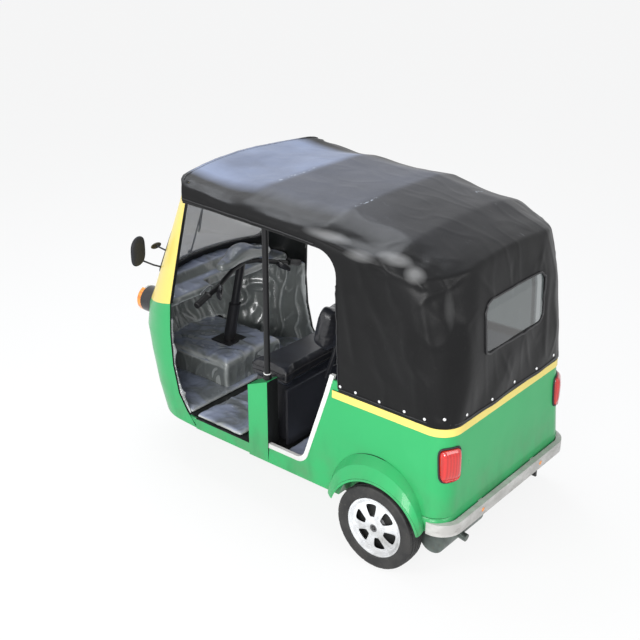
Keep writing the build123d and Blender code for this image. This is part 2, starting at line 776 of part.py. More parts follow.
with BuildPart() as rear_fenders:
    for side in (-1, 1):
        with BuildPart(mode=Mode.PRIVATE) as fender:
            for ring_y, ahead, above, ring_radius in fender_rings:
                with BuildSketch(Plane.XZ.offset(-side * ring_y)):
                    with Locations((rear_axle_x + ahead, wheel_radius + above)):
                        Circle(ring_radius)
            loft(ruled=True)
            with BuildPart(mode=Mode.PRIVATE) as fender_inside:
                for ring_y, ahead, above, ring_radius in fender_rings:
                    with BuildSketch(Plane.XZ.offset(-side * ring_y)):
                        with Locations((rear_axle_x + ahead, wheel_radius + above)):
                            Circle(ring_radius - fender_wall)
                loft(ruled=True)
            add(fender_inside.part, mode=Mode.SUBTRACT)
            add(block(fender_box[0], fender_box[1], -side_end - 1, side_end + 1, fender_low_z, fender_box[2]),
                mode=Mode.INTERSECT)
            add(tub_outer, mode=Mode.SUBTRACT)
        add(fender.part)
save(rear_fenders.part, "rear_fenders")

with BuildPart() as waist_moulding:
    add(plan_solid(tub_levels, moulding_depth, tub_front_x))
    add(tub_outer, mode=Mode.SUBTRACT)
    add(block(rear_end, opening_head_x + moulding_depth, -side_end, side_end, waist_z, waist_z + moulding_height),
        mode=Mode.INTERSECT)
save(waist_moulding.part, "waist_moulding")

with BuildPart() as door_trim:
    add(plan_solid(tub_levels, trim_lip, tub_front_x))
    add(plan_solid(tub_levels, -tub_wall - trim_lip, tub_front_x + 50), mode=Mode.SUBTRACT)
    add(doorway, mode=Mode.INTERSECT)
    add(doorway_inside_trim, mode=Mode.SUBTRACT)
    add(block(rear_axle_x, tub_front_x, -side_end, side_end, 0, trim_top_z), mode=Mode.INTERSECT)
save(door_trim.part, "door_trim")

with BuildPart() as tail_lamps:
    for side in (-1, 1):
        corner_x = tub_levels[1][2] + tub_levels[1][3]
        corner_y = side * (tub_levels[1][1] - tub_levels[1][3])
        turn = radians(lamp_turn_deg)
        with BuildPart(mode=Mode.PRIVATE) as lamp:
            add(plan_solid(tub_levels, lamp_depth, tub_front_x))
            add(tub_outer, mode=Mode.SUBTRACT)
            out = (-sin(turn), side * cos(turn), 0)
            with BuildPart(mode=Mode.PRIVATE) as window:
                with BuildSketch(Plane(origin=(corner_x, corner_y, lamp_z), z_dir=out, x_dir=(0, 0, 1))):
                    RectangleRounded(lamp_height, lamp_width, lamp_corner_radius)
                extrude(amount=tub_levels[0][3] + 10 * lamp_depth)
            add(window.part, mode=Mode.INTERSECT)
        add(lamp.part)
save(tail_lamps.part, "tail_lamps")


def bumper_slab(grow, trim, ahead):
    """The bumper's plan outline as a slab, grown, trimmed in height and reaching ahead."""
    low = bumper_low_z + trim
    level = (low, bumper_half_width, bumper_rear_x, bumper_corner_radius)
    with BuildPart() as slab:
        add(plan_sketch(level, grow, bumper_front_x + ahead))
        extrude(amount=bumper_height - 2 * trim)
    return slab.part


with BuildPart() as rear_bumper:
    add(bumper_slab(0, 0, 0))
    add(bumper_slab(-bumper_depth, -1, 40), mode=Mode.SUBTRACT)
    add(bumper_slab(-bumper_web, bumper_web, 40), mode=Mode.SUBTRACT)
    for side in (-1, 1):
        add(block(bumper_rear_x + bumper_web, rail_rear_x, side * rail_y - bumper_bracket_half_width,
                  side * rail_y + bumper_bracket_half_width, bumper_low_z + bumper_web,
                  bumper_low_z + bumper_height - bumper_web))
save(rear_bumper.part, "rear_bumper")

# ================================================================ hood
curtain_corner_z = valance_mid_z - 8
rear_doorway = ((valance_front_x, curtain_low_z), (curtain_front_x, curtain_low_z),
                (curtain_front_x, curtain_corner_z), (valance_mid_x, valance_mid_z),
                (valance_front_x, valance_front_z), (front_end, valance_front_z + 4), (front_end, curtain_low_z))
with BuildPart() as hood_doorway:
    with BuildSketch(Plane.XZ.offset(-side_end - 50)) as outline:
        with BuildLine():
            Polyline(*rear_doorway, close=True)
        make_face()
        fillet(outline.vertices().sort_by_distance((curtain_front_x, -side_end - 50, curtain_corner_z))[0],
               radius=curtain_corner_radius)
    extrude(amount=overall_width + 100)

with BuildPart() as ahead_of_hood:
    for side in (-1, 1):
        with BuildSketch(Plane.XY.offset(hood_hem_z)):
            with BuildLine():
                Polyline(*[(x, side * y) for x, y in hood_nose], (front_end, side * side_end), (front_end, 0),
                         close=True)
            make_face()
        extrude(amount=overall_height)

with BuildPart() as hood_shell:
    add(hood_outer)
    add(hood_inner, mode=Mode.SUBTRACT)
    add(hood_doorway.part, mode=Mode.SUBTRACT)
    add(ahead_of_hood.part, mode=Mode.SUBTRACT)
    add(block(rear_end, front_end, -side_end, side_end, hood_hem_z, overall_height), mode=Mode.INTERSECT)

with BuildPart() as hood_roof:
    add(hood_shell.part)
    add(block(rear_end, front_end, -side_end, side_end, hood_split_z, overall_height), mode=Mode.INTERSECT)
save(hood_roof.part, "hood_roof")

with BuildPart() as hood_sides:
    add(hood_shell.part)
    add(block(hood_rear_split_x, front_end, -side_end, side_end, 0, hood_split_z), mode=Mode.INTERSECT)
save(hood_sides.part, "hood_sides")

with BuildPart() as window_hole:
    with BuildSketch(Plane.YZ.offset(rear_end)):
        with Locations((0, (window_low_z + window_high_z) / 2)):
            RectangleRounded(2 * window_half_width, window_high_z - window_low_z, window_radius)
    extrude(amount=150)

with BuildPart() as hood_rear:
    add(hood_shell.part)
    add(block(rear_end, hood_rear_split_x, -side_end, side_end, 0, hood_split_z), mode=Mode.INTERSECT)
    add(window_hole.part, mode=Mode.SUBTRACT)
save(hood_rear.part, "hood_rear")

with BuildPart() as rear_window:
    add(hood_solid(canvas / 4))
    add(hood_solid(canvas * 3 / 4), mode=Mode.SUBTRACT)
    add(window_hole.part, mode=Mode.INTERSECT)
save(rear_window.part, "rear_window")

with BuildPart() as hood_frame:
    with BuildPart(mode=Mode.PRIVATE) as frame_skin:
        add(hood_underside)
        add(hood_solid(canvas + 2 * seat_gap + bow_size), mode=Mode.SUBTRACT)
    with BuildPart(mode=Mode.PRIVATE) as bows:
        for bow_x in bow_xs:
            with BuildPart(mode=Mode.PRIVATE) as bow:
                add(frame_skin.part)
                low_z = rail_low_z if bow_x > curtain_front_x else tub_top_z
                add(block(bow_x - bow_size / 2, bow_x + bow_size / 2, -side_end, side_end, low_z, overall_height),
                    mode=Mode.INTERSECT)
            add(bow.part)
    add(bows.part)
    with BuildPart(mode=Mode.PRIVATE) as rails:
        add(frame_skin.part)
        add(block(bow_xs[1] - bow_size / 2, side_rail_front_x, -side_end, side_end, rail_low_z, rail_low_z + bow_size),
            mode=Mode.INTERSECT)
    add(rails.part)
    add(windshield_frame.part, mode=Mode.SUBTRACT)
    for side in (-1, 1):
        add(rod((post_x, side * post_y, pillar_top_z), (post_x, side * post_y, rail_low_z + 4), post_radius))
        add(rod((post_x, side * post_y, pillar_top_z), (post_x, side * post_y, pillar_top_z + post_collar_height),
                post_collar_radius))
save(hood_frame.part, "hood_frame")

# ================================================================ drive and rear axle
with BuildPart() as engine_block:
    add(block(engine_rear_x, engine_front_x, -engine_half_width, engine_half_width, engine_low_z, engine_top_z))
    add(block(rear_axle_x - engine_mount_half_depth, rear_axle_x + engine_mount_half_depth, -rail_y + rail_width / 2,
              rail_y - rail_width / 2, engine_mount_low_z, engine_mount_high_z))
save(engine_block.part, "engine_block")

with BuildPart() as muffler:
    add(rod((muffler_x, muffler_y0, muffler_z), (muffler_x, muffler_y1, muffler_z), muffler_radius))
    add(block(muffler_x - hanger_half_width, muffler_x + hanger_half_width, rail_y - hanger_half_width,
              rail_y + hanger_half_width, muffler_z, floor_low_z - rail_height))
    add(rod((engine_rear_x, exhaust_y, muffler_z + 10), (muffler_x, exhaust_y, muffler_z + 10), exhaust_radius))
    add(rod((muffler_x, tail_pipe_y, muffler_z - 20), (tail_pipe_end_x, tail_pipe_y, muffler_z - 36), tail_pipe_radius))
save(muffler.part, "muffler")

with BuildPart() as rear_arms:
    for side in (-1, 1):
        inner = side * (arm_y - arm_thickness / 2)
        outer = side * (arm_y + arm_thickness / 2)
        add(side_prism(((arm_pivot_x + 30, arm_pivot_z - 30), (arm_pivot_x + 30, arm_pivot_z + 18),
                        (rear_axle_x, wheel_radius + 42), (rear_axle_x - 42, wheel_radius + 20),
                        (rear_axle_x - 42, wheel_radius - 30), (rear_axle_x, wheel_radius - 42)),
                       min(inner, outer), max(inner, outer)))
        add(rod((arm_pivot_x, side * (rail_y - 20), arm_pivot_z), (arm_pivot_x, side * (arm_y + 40), arm_pivot_z),
                arm_pivot_radius))
        axle_middle = (rear_axle_x, side * arm_y, wheel_radius)
        add(rod((rear_axle_x, side * engine_half_width, wheel_radius), axle_middle, drive_shaft_radius))
        add(rod(axle_middle, (rear_axle_x, side * (rear_wheel_y - hub_width / 2 - 6), wheel_radius), stub_radius))
        add(rod(axle_middle, (rear_axle_x, side * (rear_wheel_y + hub_width / 2), wheel_radius), axle_radius))
        add(rod((damper_x, side * arm_y, wheel_radius + 10), (damper_x, side * arm_y, damper_top_z), damper_radius))
save(rear_arms.part, "rear_arms")

tow_eye_outline = ((-1030, 322), (-1030, 285), (-1108, 228), (-1164, 228), (-1164, 264), (-1138, 267), (-1096, 322))
tow_eye_thickness = 12
tow_eye_hole_radius = 9
tow_eye_hole = (-1140, 247)
with BuildPart() as tow_eye:
    add(side_prism(tow_eye_outline, -rail_y - rail_width / 2 - tow_eye_thickness, -rail_y - rail_width / 2))
    add(rod((tow_eye_hole[0], -rail_y - 100, tow_eye_hole[1]), (tow_eye_hole[0], -rail_y + 100, tow_eye_hole[1]),
            tow_eye_hole_radius), mode=Mode.SUBTRACT)
save(tow_eye.part, "tow_eye")

# ================================================================ steering
head_wall = 9
head_height = 250
head_flange = 150
head_foot_z = wheelhouse_top_z + wheelhouse_wall
with BuildPart() as steering_head:
    head_foot_x = steering_foot_x - (head_foot_z - wheel_radius) * tan(radians(rake_deg))
    add(rod(column_foot, column_head, column_radius + bore_clearance + head_wall))
    add(block(head_foot_x - head_flange, head_foot_x + head_flange, -head_flange, head_flange, head_foot_z,
              head_foot_z + head_height), mode=Mode.INTERSECT)
    add(block(head_foot_x - head_flange / 2, head_foot_x + head_flange / 2, -head_flange / 2, head_flange / 2,
              head_foot_z, head_foot_z + 8))
    add(rod(column_foot, column_head, column_radius + bore_clearance), mode=Mode.SUBTRACT)
save(steering_head.part, "steering_head")

steer_plane = Plane(origin=column_foot, x_dir=(cos(radians(rake_deg)), 0, sin(radians(rake_deg))), z_dir=column_way)
axle_local_x = steering_trail_offset * cos(radians(rake_deg))
with BuildPart() as front_fork:
    with BuildSketch(steer_plane.offset(crown_bottom)):
        RectangleRounded(fork_leg_depth + 16, 2 * (fork_leg_y + fork_leg_thickness), 10)
    extrude(amount=crown_thickness)
    with BuildSketch(steer_plane.offset(crown_bottom)):
        Circle(column_radius)
    extrude(amount=column_top - crown_bottom)
    for side in (-1, 1):
        with BuildSketch(steer_plane):
            with Locations((axle_local_x, side * (fork_leg_y + fork_leg_thickness / 2))):
                RectangleRounded(fork_leg_depth, fork_leg_thickness, 6)
        extrude(amount=crown_bottom + 2)
        add(rod((front_axle_x, side * (hub_width / 2 + 6), wheel_radius),
                (front_axle_x, side * (fork_leg_y + fork_leg_thickness), wheel_radius), fork_boss_radius))
    add(rod((front_axle_x, -fork_leg_y, wheel_radius), (front_axle_x, fork_leg_y, wheel_radius), axle_radius))
save(front_fork.part, "front_fork")

with BuildPart() as front_mudguard:
    mudguard_plane = Plane(origin=(front_axle_x, 0, wheel_radius), x_dir=(0, 1, 0), z_dir=(1, 0, 0))
    with BuildSketch(mudguard_plane):
        with BuildLine():
            outer_w = mudguard_half_width
            inner_w = mudguard_half_width - mudguard_wall
            low_r = mudguard_radius - mudguard_skirt
            in_r = mudguard_radius - mudguard_wall
            Polyline((-outer_w, low_r), (-outer_w, mudguard_radius - 12), (-outer_w + 12, mudguard_radius),
                     (outer_w - 12, mudguard_radius), (outer_w, mudguard_radius - 12), (outer_w, low_r),
                     (inner_w, low_r), (inner_w, in_r - 10), (inner_w - 10, in_r), (-inner_w + 10, in_r),
                     (-inner_w, in_r - 10), (-inner_w, low_r), close=True)
        make_face()
    revolve(axis=Axis((front_axle_x, 0, wheel_radius), (0, 1, 0)), revolution_arc=360)
    add(block(front_axle_x - 2 * mudguard_radius, front_axle_x + 2 * mudguard_radius, -mudguard_radius, mudguard_radius,
              mudguard_low_z, overall_height), mode=Mode.INTERSECT)
    with BuildPart(mode=Mode.PRIVATE) as boss:
        with BuildSketch(steer_plane.offset(mudguard_radius - 20)):
            Circle(22)
        extrude(amount=crown_bottom - mudguard_radius + 20)
        add(rod((front_axle_x, -mudguard_half_width, wheel_radius), (front_axle_x, mudguard_half_width, wheel_radius),
                mudguard_radius - 2), mode=Mode.SUBTRACT)
    add(boss.part)
save(front_mudguard.part, "front_mudguard")

# rows of the handlebar's left half: x, y, z
bar_middle_x = front_end - 532
bar_route = ((bar_middle_x, 0, 1062), (bar_middle_x - 8, 100, 1046), (bar_middle_x - 36, 250, 996),
             (bar_middle_x - 46, side_end - 218, 942))
cover_middle = (bar_middle_x + 24, 1104)
cover_size = (124, 128)
cover_corner = 40
cover_half_width = 78
cover_wing_y = 205


def bar_solid(extra):
    """The bent bar, with its radius grown by extra."""
    with BuildPart() as bar:
        for side in (-1, 1):
            points = [(x, side * y, z) for x, y, z in bar_route]
            for start, end in zip(points, points[1:]):
                add(rod(start, end, bar_radius + extra))
            for point in points[1:-1]:
                with Locations(point):
                    Sphere(bar_radius + extra)
    return bar.part


with BuildPart() as handlebar:
    add(bar_solid(0))
    for side in (-1, 1):
        inner, outer = (Vector(x, side * y, z) for x, y, z in bar_route[-2:])
        grip_way = (outer - inner).normalized()
        add(rod(tuple(outer - grip_way * grip_length), tuple(outer), grip_radius))
    add(rod(column_foot, column_head, column_radius + seat_gap), mode=Mode.SUBTRACT)
save(handlebar.part, "handlebar")

with BuildPart() as handlebar_cover:
    with BuildSketch(Plane.XZ):
        with Locations((cover_middle[0], cover_middle[1])):
            RectangleRounded(*cover_size, cover_corner)
    extrude(amount=cover_half_width, both=True)
    for side in (-1, 1):
        with BuildSketch(Plane.XZ.offset(-side * cover_half_width)):
            with Locations((cover_middle[0], cover_middle[1] - 4)):
                RectangleRounded(cover_size[0] - 8, cover_size[1] - 18, cover_corner - 4)
        with BuildSketch(Plane.XZ.offset(-side * cover_wing_y)):
            with Locations((cover_middle[0] - 22, cover_middle[1] - 44)):
                RectangleRounded(cover_size[0] - 64, cover_size[1] - 74, cover_corner - 22)
        loft(ruled=True)
    add(bar_solid(seat_gap), mode=Mode.SUBTRACT)
    add(rod(column_foot, column_head, column_radius + seat_gap), mode=Mode.SUBTRACT)
save(handlebar_cover.part, "handlebar_cover")

# ================================================================ wheels
# rows: name, axle x, wheel centre y, side of the cover
wheels = (
    ("front", front_axle_x, 0, 1),
    ("rear_left", rear_axle_x, rear_wheel_y, 1),
    ("rear_right", rear_axle_x, -rear_wheel_y, -1),
)
for name, axle_x, centre_y, cover_side in wheels:
    centre = (axle_x, centre_y, wheel_radius)
    width = front_tyre_width if name == "front" else tyre_width
    wheel_plane = Plane(origin=centre, x_dir=(0, 1, 0), z_dir=(1, 0, 0))
    wheel_axis = Axis(centre, (0, 1, 0))
    half = width / 2
    with BuildPart() as tyre:
        with BuildSketch(wheel_plane):
            with BuildLine():
                bead = rim_width / 2 - tyre_bead_inset
                shoulder = half - tread_shoulder
                Line((-bead, tyre_bead_radius), (bead, tyre_bead_radius))
                ThreePointArc((bead, tyre_bead_radius), (half, (tyre_bead_radius + wheel_radius) / 2),
                              (shoulder, wheel_radius - tread_crown))
                ThreePointArc((shoulder, wheel_radius - tread_crown), (0, wheel_radius),
                              (-shoulder, wheel_radius - tread_crown))
                ThreePointArc((-shoulder, wheel_radius - tread_crown),
                              (-half, (tyre_bead_radius + wheel_radius) / 2), (-bead, tyre_bead_radius))
            make_face()
        revolve(axis=wheel_axis)
    save(tyre.part, f"tyre_{name}")

    with BuildPart() as rim:
        with BuildSketch(wheel_plane):
            with Locations((0, tyre_bead_radius - rim_wall / 2)):
                Rectangle(rim_width, rim_wall)
            with Locations((cover_side * (rim_width - cover_thickness) / 2, (tyre_bead_radius + axle_radius) / 2)):
                Rectangle(cover_thickness, tyre_bead_radius - axle_radius - bore_clearance - 2)
            with Locations((0, (hub_radius + axle_radius + bore_clearance) / 2)):
                Rectangle(hub_width, hub_radius - axle_radius - bore_clearance)
        revolve(axis=wheel_axis)
        opening_plane = Plane(origin=centre, x_dir=(0, 0, 1), z_dir=(0, 1, 0))
        with BuildSketch(opening_plane):
            with PolarLocations(cover_opening_ring, cover_opening_count):
                RectangleRounded(*cover_opening_size, cover_opening_corner)
        extrude(amount=rim_width, both=True, mode=Mode.SUBTRACT)
    save(rim.part, f"rim_{name}")
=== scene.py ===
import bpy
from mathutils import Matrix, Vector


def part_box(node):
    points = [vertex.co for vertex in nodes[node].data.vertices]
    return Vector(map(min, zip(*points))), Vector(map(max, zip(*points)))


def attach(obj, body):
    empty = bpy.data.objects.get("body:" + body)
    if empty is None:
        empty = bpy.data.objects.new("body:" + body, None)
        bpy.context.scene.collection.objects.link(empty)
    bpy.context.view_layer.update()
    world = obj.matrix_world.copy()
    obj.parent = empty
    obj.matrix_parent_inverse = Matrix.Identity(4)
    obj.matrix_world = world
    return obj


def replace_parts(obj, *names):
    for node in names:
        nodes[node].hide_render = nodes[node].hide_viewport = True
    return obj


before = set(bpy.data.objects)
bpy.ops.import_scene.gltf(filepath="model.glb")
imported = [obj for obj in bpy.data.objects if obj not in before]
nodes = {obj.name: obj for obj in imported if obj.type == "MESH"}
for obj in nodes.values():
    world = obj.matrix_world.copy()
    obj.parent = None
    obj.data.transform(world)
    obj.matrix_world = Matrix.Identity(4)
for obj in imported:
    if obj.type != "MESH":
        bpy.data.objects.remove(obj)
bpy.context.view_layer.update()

from math import copysign, cos, exp, hypot, pi, radians, sin

import bmesh
import bpy
from mathutils import Matrix, Vector, noise
from mathutils.bvhtree import BVHTree

scene = bpy.context.scene
hands = (("left", 1), ("right", -1))
up = Vector((0, 0, 1))


# ---------------------------------------------------------------- materials
# each look's material, and the record's slot for pieces that wear it
looks = {}


class Tree:
    """A node tree, with short ways to add and join its nodes."""

    def __init__(self, tree):
        self.tree = tree

    def fill(self, node, inputs):
        """Sets a node's inputs, each to a value or to another node's output."""
        for socket, value in inputs.items():
            if isinstance(value, bpy.types.NodeSocket):
                self.tree.links.new(value, node.inputs[socket])
            else:
                node.inputs[socket].default_value = value

    def node(self, kind, inputs, out=0, **settings):
        made = self.tree.nodes.new("ShaderNode" + kind)
        for key, value in settings.items():
            setattr(made, key, value)
        self.fill(made, inputs)
        return made.outputs[out]

    def math(self, operation, a, b):
        return self.node("Math", {0: a, 1: b}, operation=operation)

    def times(self, a, b):
        return self.math("MULTIPLY", a, b)

    def seen_white(self, shader, glow, share):
        """Mixes a plain white glow over a shader for camera, glossy and transmission rays."""
        path = self.tree.nodes.new("ShaderNodeLightPath").outputs
        rays = path["Is Camera Ray"]
        for ray in ("Is Glossy Ray", "Is Transmission Ray"):
            rays = self.math("MAXIMUM", rays, path[ray])
        white = self.node(glow, {"Color": (1, 1, 1, 1), "Strength": 1.0})
        return self.node("MixShader", {0: self.times(rays, share), 1: shader, 2: white})


class Look(Tree):
    """A node material with one Principled shader, its pattern in object coordinates."""

    def __init__(self, name, color, rough, metal=0.0, **sockets):
        self.name = name
        self.material = bpy.data.materials.new(name)
        self.material.use_nodes = True
        super().__init__(self.material.node_tree)
        self.shader = self.tree.nodes["Principled BSDF"]
        self.fill(self.shader, {"Roughness": rough, "Metallic": metal})
        self.fill(self.shader, {socket.replace("_", " "): value for socket, value in sockets.items()})
        place = self.tree.nodes.new("ShaderNodeTexCoord").outputs
        self.coords, self.normal = place["Object"], place["Normal"]
        self.color, self.height = (*color, 1), None

    def scaled(self, scale=(1, 1, 1)):
        return self.node("Mapping", {"Vector": self.coords, "Scale": scale})

    def noise(self, scale, detail=3.0, stretch=(1, 1, 1), distortion=0.0):
        inputs = {"Vector": self.scaled(stretch), "Scale": scale, "Detail": detail, "Distortion": distortion}
        return self.node("TexNoise", inputs, "Fac")

    def bands(self, scale, axis):
        return self.node("TexWave", {"Vector": self.scaled(), "Scale": scale}, "Fac", bands_direction=axis)

    def ranged(self, value, low, high, to_low=0.0, to_high=1.0):
        return self.node("MapRange", {"Value": value, "From Min": low, "From Max": high,
                                      "To Min": to_low, "To Max": to_high}, "Result")

    def part(self, vector, name):
        return self.node("SeparateXYZ", {0: vector}, name)

    def axis(self, name, low, high):
        """0 to 1 along an object axis, from low to high in metres."""
        return self.ranged(self.part(self.coords, name), low, high)

    def facing(self, name, low, high):
        """0 to 1 as the surface turns to an object axis."""
        return self.ranged(self.part(self.normal, name), low, high)

    def between(self, name, low, high):
        """1 between two places along an object axis."""
        place = self.part(self.coords, name)
        return self.times(self.math("GREATER_THAN", place, low), self.math("LESS_THAN", place, high))

    def vectors(self, operation, a, b, out="Vector"):
        return self.node("VectorMath", {0: a, 1: b}, out, operation=operation)

    def along(self, way, low, high):
        """0 to 1 along any direction in object coordinates."""
        return self.ranged(self.vectors("DOT_PRODUCT", self.coords, way, "Value"), low, high)

    def cloud(self, pattern, low, high, to_low=0.0, to_high=1.0):
        """A noise, given as its arguments, taken from one range to another."""
        return self.ranged(self.noise(*pattern), low, high, to_low, to_high)

    def tint(self, factor, color):
        """Mixes color over what is there, by factor."""
        inputs = {"A": self.color, "B": (*color, 1), "Factor": factor}
        self.color = self.node("Mix", inputs, "Result", data_type="RGBA")
        return self

    def mottle(self, color, pattern, low, high, most):
        """Mixes color over the high places of a noise, given as its arguments."""
        return self.tint(self.cloud(pattern, low, high, 0, most), color)

    def rough(self, pattern, low, high):
        self.fill(self.shader, {"Roughness": self.cloud(pattern, 0, 1, low, high)})

    def bump(self, height, distance, strength):
        """Adds relief from an output or from a noise's arguments, its depth in metres."""
        inputs = {"Height": self.noise(*height) if isinstance(height, tuple) else height,
                  "Distance": distance, "Strength": strength}
        if self.height is not None:
            inputs["Normal"] = self.height
        self.height = self.node("Bump", inputs)
        return self

    def done(self, slot=None):
        self.fill(self.shader, {"Base Color": self.color})
        if self.height is not None:
            self.fill(self.shader, {"Normal": self.height})
        looks[self.name] = self.material, slot or self.name


def shade(color, share, more=0.0):
    return [min(1, c * share + more) for c in color]


def painted(name, color, rough=0.3, dirt=0.5, coat=0.2, middle=None):
    """Enamel with dust and runs low down, small chips and, on faces turned towards its middle, painted shade.
    """
    look = Look(name, color, rough, Coat_Weight=coat, Coat_Roughness=0.1, Specular_IOR_Level=0.22)
    look.mottle(shade(color, 0.7), (2.2, 4), 0.42, 0.75, 0.25)
    look.mottle(shade(color, 1.1, 0.03), (5, 5, (1, 1, 1), 0.6), 0.52, 0.8, 0.16)
    low_down = look.math("SUBTRACT", 1.0, look.axis("Z", 0.24, 0.62))
    dust = look.cloud((7, 7), 0.38, 0.72, 0, dirt)
    look.tint(look.times(low_down, dust), (0.13, 0.12, 0.095))
    runs = look.cloud((16, 6, (1, 1, 0.3)), 0.52, 0.74, 0, dirt * 0.7)
    look.tint(look.times(low_down, runs), shade(color, 0.35))
    chips = look.cloud((90, 3), 0.735, 0.75, 0, 0.8)
    look.tint(look.times(chips, look.cloud((3, 2), 0.5, 0.7)), (0.07, 0.07, 0.065))
    if middle:
        # painted shade: faces turned towards the middle are darkened almost to black
        away = look.vectors("SUBTRACT", look.coords, middle)
        turned = look.vectors("DOT_PRODUCT", away, look.normal, "Value")
        look.tint(look.ranged(turned, -0.03, -0.08), (0.012, 0.013, 0.013))
    look.rough((9, 5), rough * 0.7, rough * 1.5)
    look.bump((4, 2), 0.006, 0.3).bump((420, 2), 0.0003, 0.25).done()


def vinyl(name, color, rough, top, crest_highlight, grain=0.0006, coat=0.3):
    """Glossy covering, with a painted bluish sheen where it lies flat and painted highlights on its folds'
    crests.
    """
    look = Look(name, color, rough, Coat_Weight=coat, Coat_Roughness=0.14, Sheen_Weight=0.06,
                Sheen_Tint=(0.55, 0.65, 0.9, 1), Specular_IOR_Level=0.45)
    look.mottle(shade(color, 1.9, 0.004), (3.5, 4), 0.4, 0.75, 0.5)
    # painted highlights on the crests of the folds
    if crest_highlight:
        edges = look.ranged(look.node("NewGeometry", {}, "Pointiness"), 0.502, 0.55)
        look.tint(look.times(edges, look.cloud((4, 3), 0.3, 0.55)), crest_highlight)
    # painted bluish sheen on faces that lie flat
    flat = look.cloud((3.4, 4, (1, 1.4, 1), 1.4), 0.36, 0.56, 0.12, 1.0)
    look.tint(look.times(look.facing("Z", 0.55, 0.92), flat), top)
    look.mottle(shade(color, 3, 0.02), (40, 6), 0.62, 0.8, 0.25)
    look.rough((6, 5), rough * 0.75, rough * 1.35)
    cells = look.node("TexVoronoi", {"Vector": look.scaled(), "Scale": 520}, "Distance")
    look.bump(cells, grain, 0.5).bump((60, 4), 0.0012, 0.3).done()


def canvas():
    """Worn black coated canvas, with a painted sky reflection that makes its flat top paler and bluish
    towards the front, and painted highlights on its shoulders and rear corners.
    """
    look = Look("canvas_black", (0.006, 0.006, 0.0064), 0.36, Specular_IOR_Level=0.15, Sheen_Weight=0.02,
                Sheen_Roughness=0.35, Sheen_Tint=(0.7, 0.78, 1.0, 1), Coat_Weight=0.05, Coat_Roughness=0.3)
    # painted sky reflection on the flat top near the middle, fading out towards the rear
    off_middle = look.math("ABSOLUTE", look.part(look.coords, "Y"), 0.0)
    flat = look.times(look.facing("Z", 0.8, 0.97), look.ranged(off_middle, 0.37, 0.47, 1, 0))
    top = look.times(flat, look.cloud((1.7, 3), 0.3, 0.7, 0.6, 1.0))
    look.tint(look.times(top, look.axis("X", -1.1, -0.35)), (0.05, 0.051, 0.058))
    # panels between the bows, with more painted sky reflection: where each starts, its patchiness and the
    # reflection's colour
    for start, end, pattern, low, high, least, color in (
            (-0.425, -0.385, (2.6, 4), 0.3, 0.7, 0.6, (0.07, 0.078, 0.105)),
            (0.095, 0.155, (1.9, 4), 0.34, 0.6, 0.5, (0.21, 0.25, 0.36))):
        panel = look.times(top, look.axis("X", start, end))
        look.tint(look.times(panel, look.cloud(pattern, low, high, least, 1.0)), color)
    look.mottle((0.014, 0.014, 0.015), (2.5, 5), 0.48, 0.8, 0.4)
    look.mottle((0.07, 0.07, 0.068), (48, 7), 0.63, 0.85, 0.12)
    # painted highlights on both shoulders and at the rear corners, those on the right at half strength:
    # middle, reach, strength
    painted_highlights = (((-0.44, 0.565, 1.625), (0.17, 0.05, 0.026), 0.8),
                ((-0.62, 0.572, 1.575), (0.1, 0.04, 0.03), 0.75),
                ((-0.8, 0.535, 1.59), (0.12, 0.06, 0.03), 0.85),
                ((-0.9, 0.535, 1.545), (0.06, 0.05, 0.05), 0.8),
                ((-1.04, 0.47, 1.33), (0.035, 0.03, 0.18), 0.25),
                ((-0.98, 0.53, 1.08), (0.03, 0.03, 0.16), 0.22))
    for side, share in ((1, 1.0), (-1, 0.5)):
        for (x, y, z), reach, most in painted_highlights:
            wear_and_sheen = look.cloud((9, 3, (0.5, 1, 1.6)), 0.3, 0.6, 0.7 * most * share, most * share)
            away = look.vectors("DIVIDE", look.vectors("SUBTRACT", look.coords, (x, side * y, z)), reach)
            highlight_patch = look.ranged(look.vectors("LENGTH", away, (0, 0, 0), "Value"), 1.0, 0.3)
            look.tint(look.times(highlight_patch, wear_and_sheen), (0.2, 0.2, 0.2))
    scuffs = look.times(look.cloud((34, 5, (0.25, 1, 1), 1.5), 0.69, 0.74, 0, 0.7),
                        look.cloud((4, 2), 0.55, 0.66))
    look.tint(look.times(scuffs, flat), (0.3, 0.31, 0.33))
    # paint worn off along the bows: the bow's place, both ends of the wear, strength
    for bow_x, low_y, high_y, most in ((0.13, -0.1, 0.27, 0.75), (-0.408, 0.16, 0.34, 0.6),
                                       (-0.65, -0.42, -0.34, 0.4)):
        line = look.times(look.between("X", bow_x - 0.007, bow_x + 0.007), look.between("Y", low_y, high_y))
        wear_and_sheen = look.cloud((38, 4, (1, 0.5, 0), 2.0), 0.56, 0.6, 0, most)
        look.tint(look.times(line, look.times(wear_and_sheen, flat)), (0.55, 0.6, 0.68))
    look.rough((5, 6), 0.28, 0.46)
    weave = look.math("MAXIMUM", look.bands(260, "X"), look.bands(260, "Z"))
    look.bump(weave, 0.00025, 0.22).bump((30, 4), 0.0015, 0.3).done()


def glassy(name, color, alpha, rough=0.06, painted_light_bands=()):
    """Glass or clear film, with soft bands of painted shade and painted highlight: direction, both ends,
    colour.
    """
    look = Look(name, color, rough, Alpha=alpha, Coat_Weight=0.5, Coat_Roughness=0.05)
    look.mottle(shade(color, 1.25), (3, 5), 0.45, 0.75, 0.5)
    look.mottle(shade(color, 1.8, 0.04), (14, 6, (1, 1, 0.35)), 0.6, 0.85, 0.35)
    for way, low, high, color in painted_light_bands:
        look.tint(look.times(look.along(way, low - 0.012, low), look.along(way, high + 0.012, high)), color)
    look.bump((5, 2), 0.002, 0.3).done()


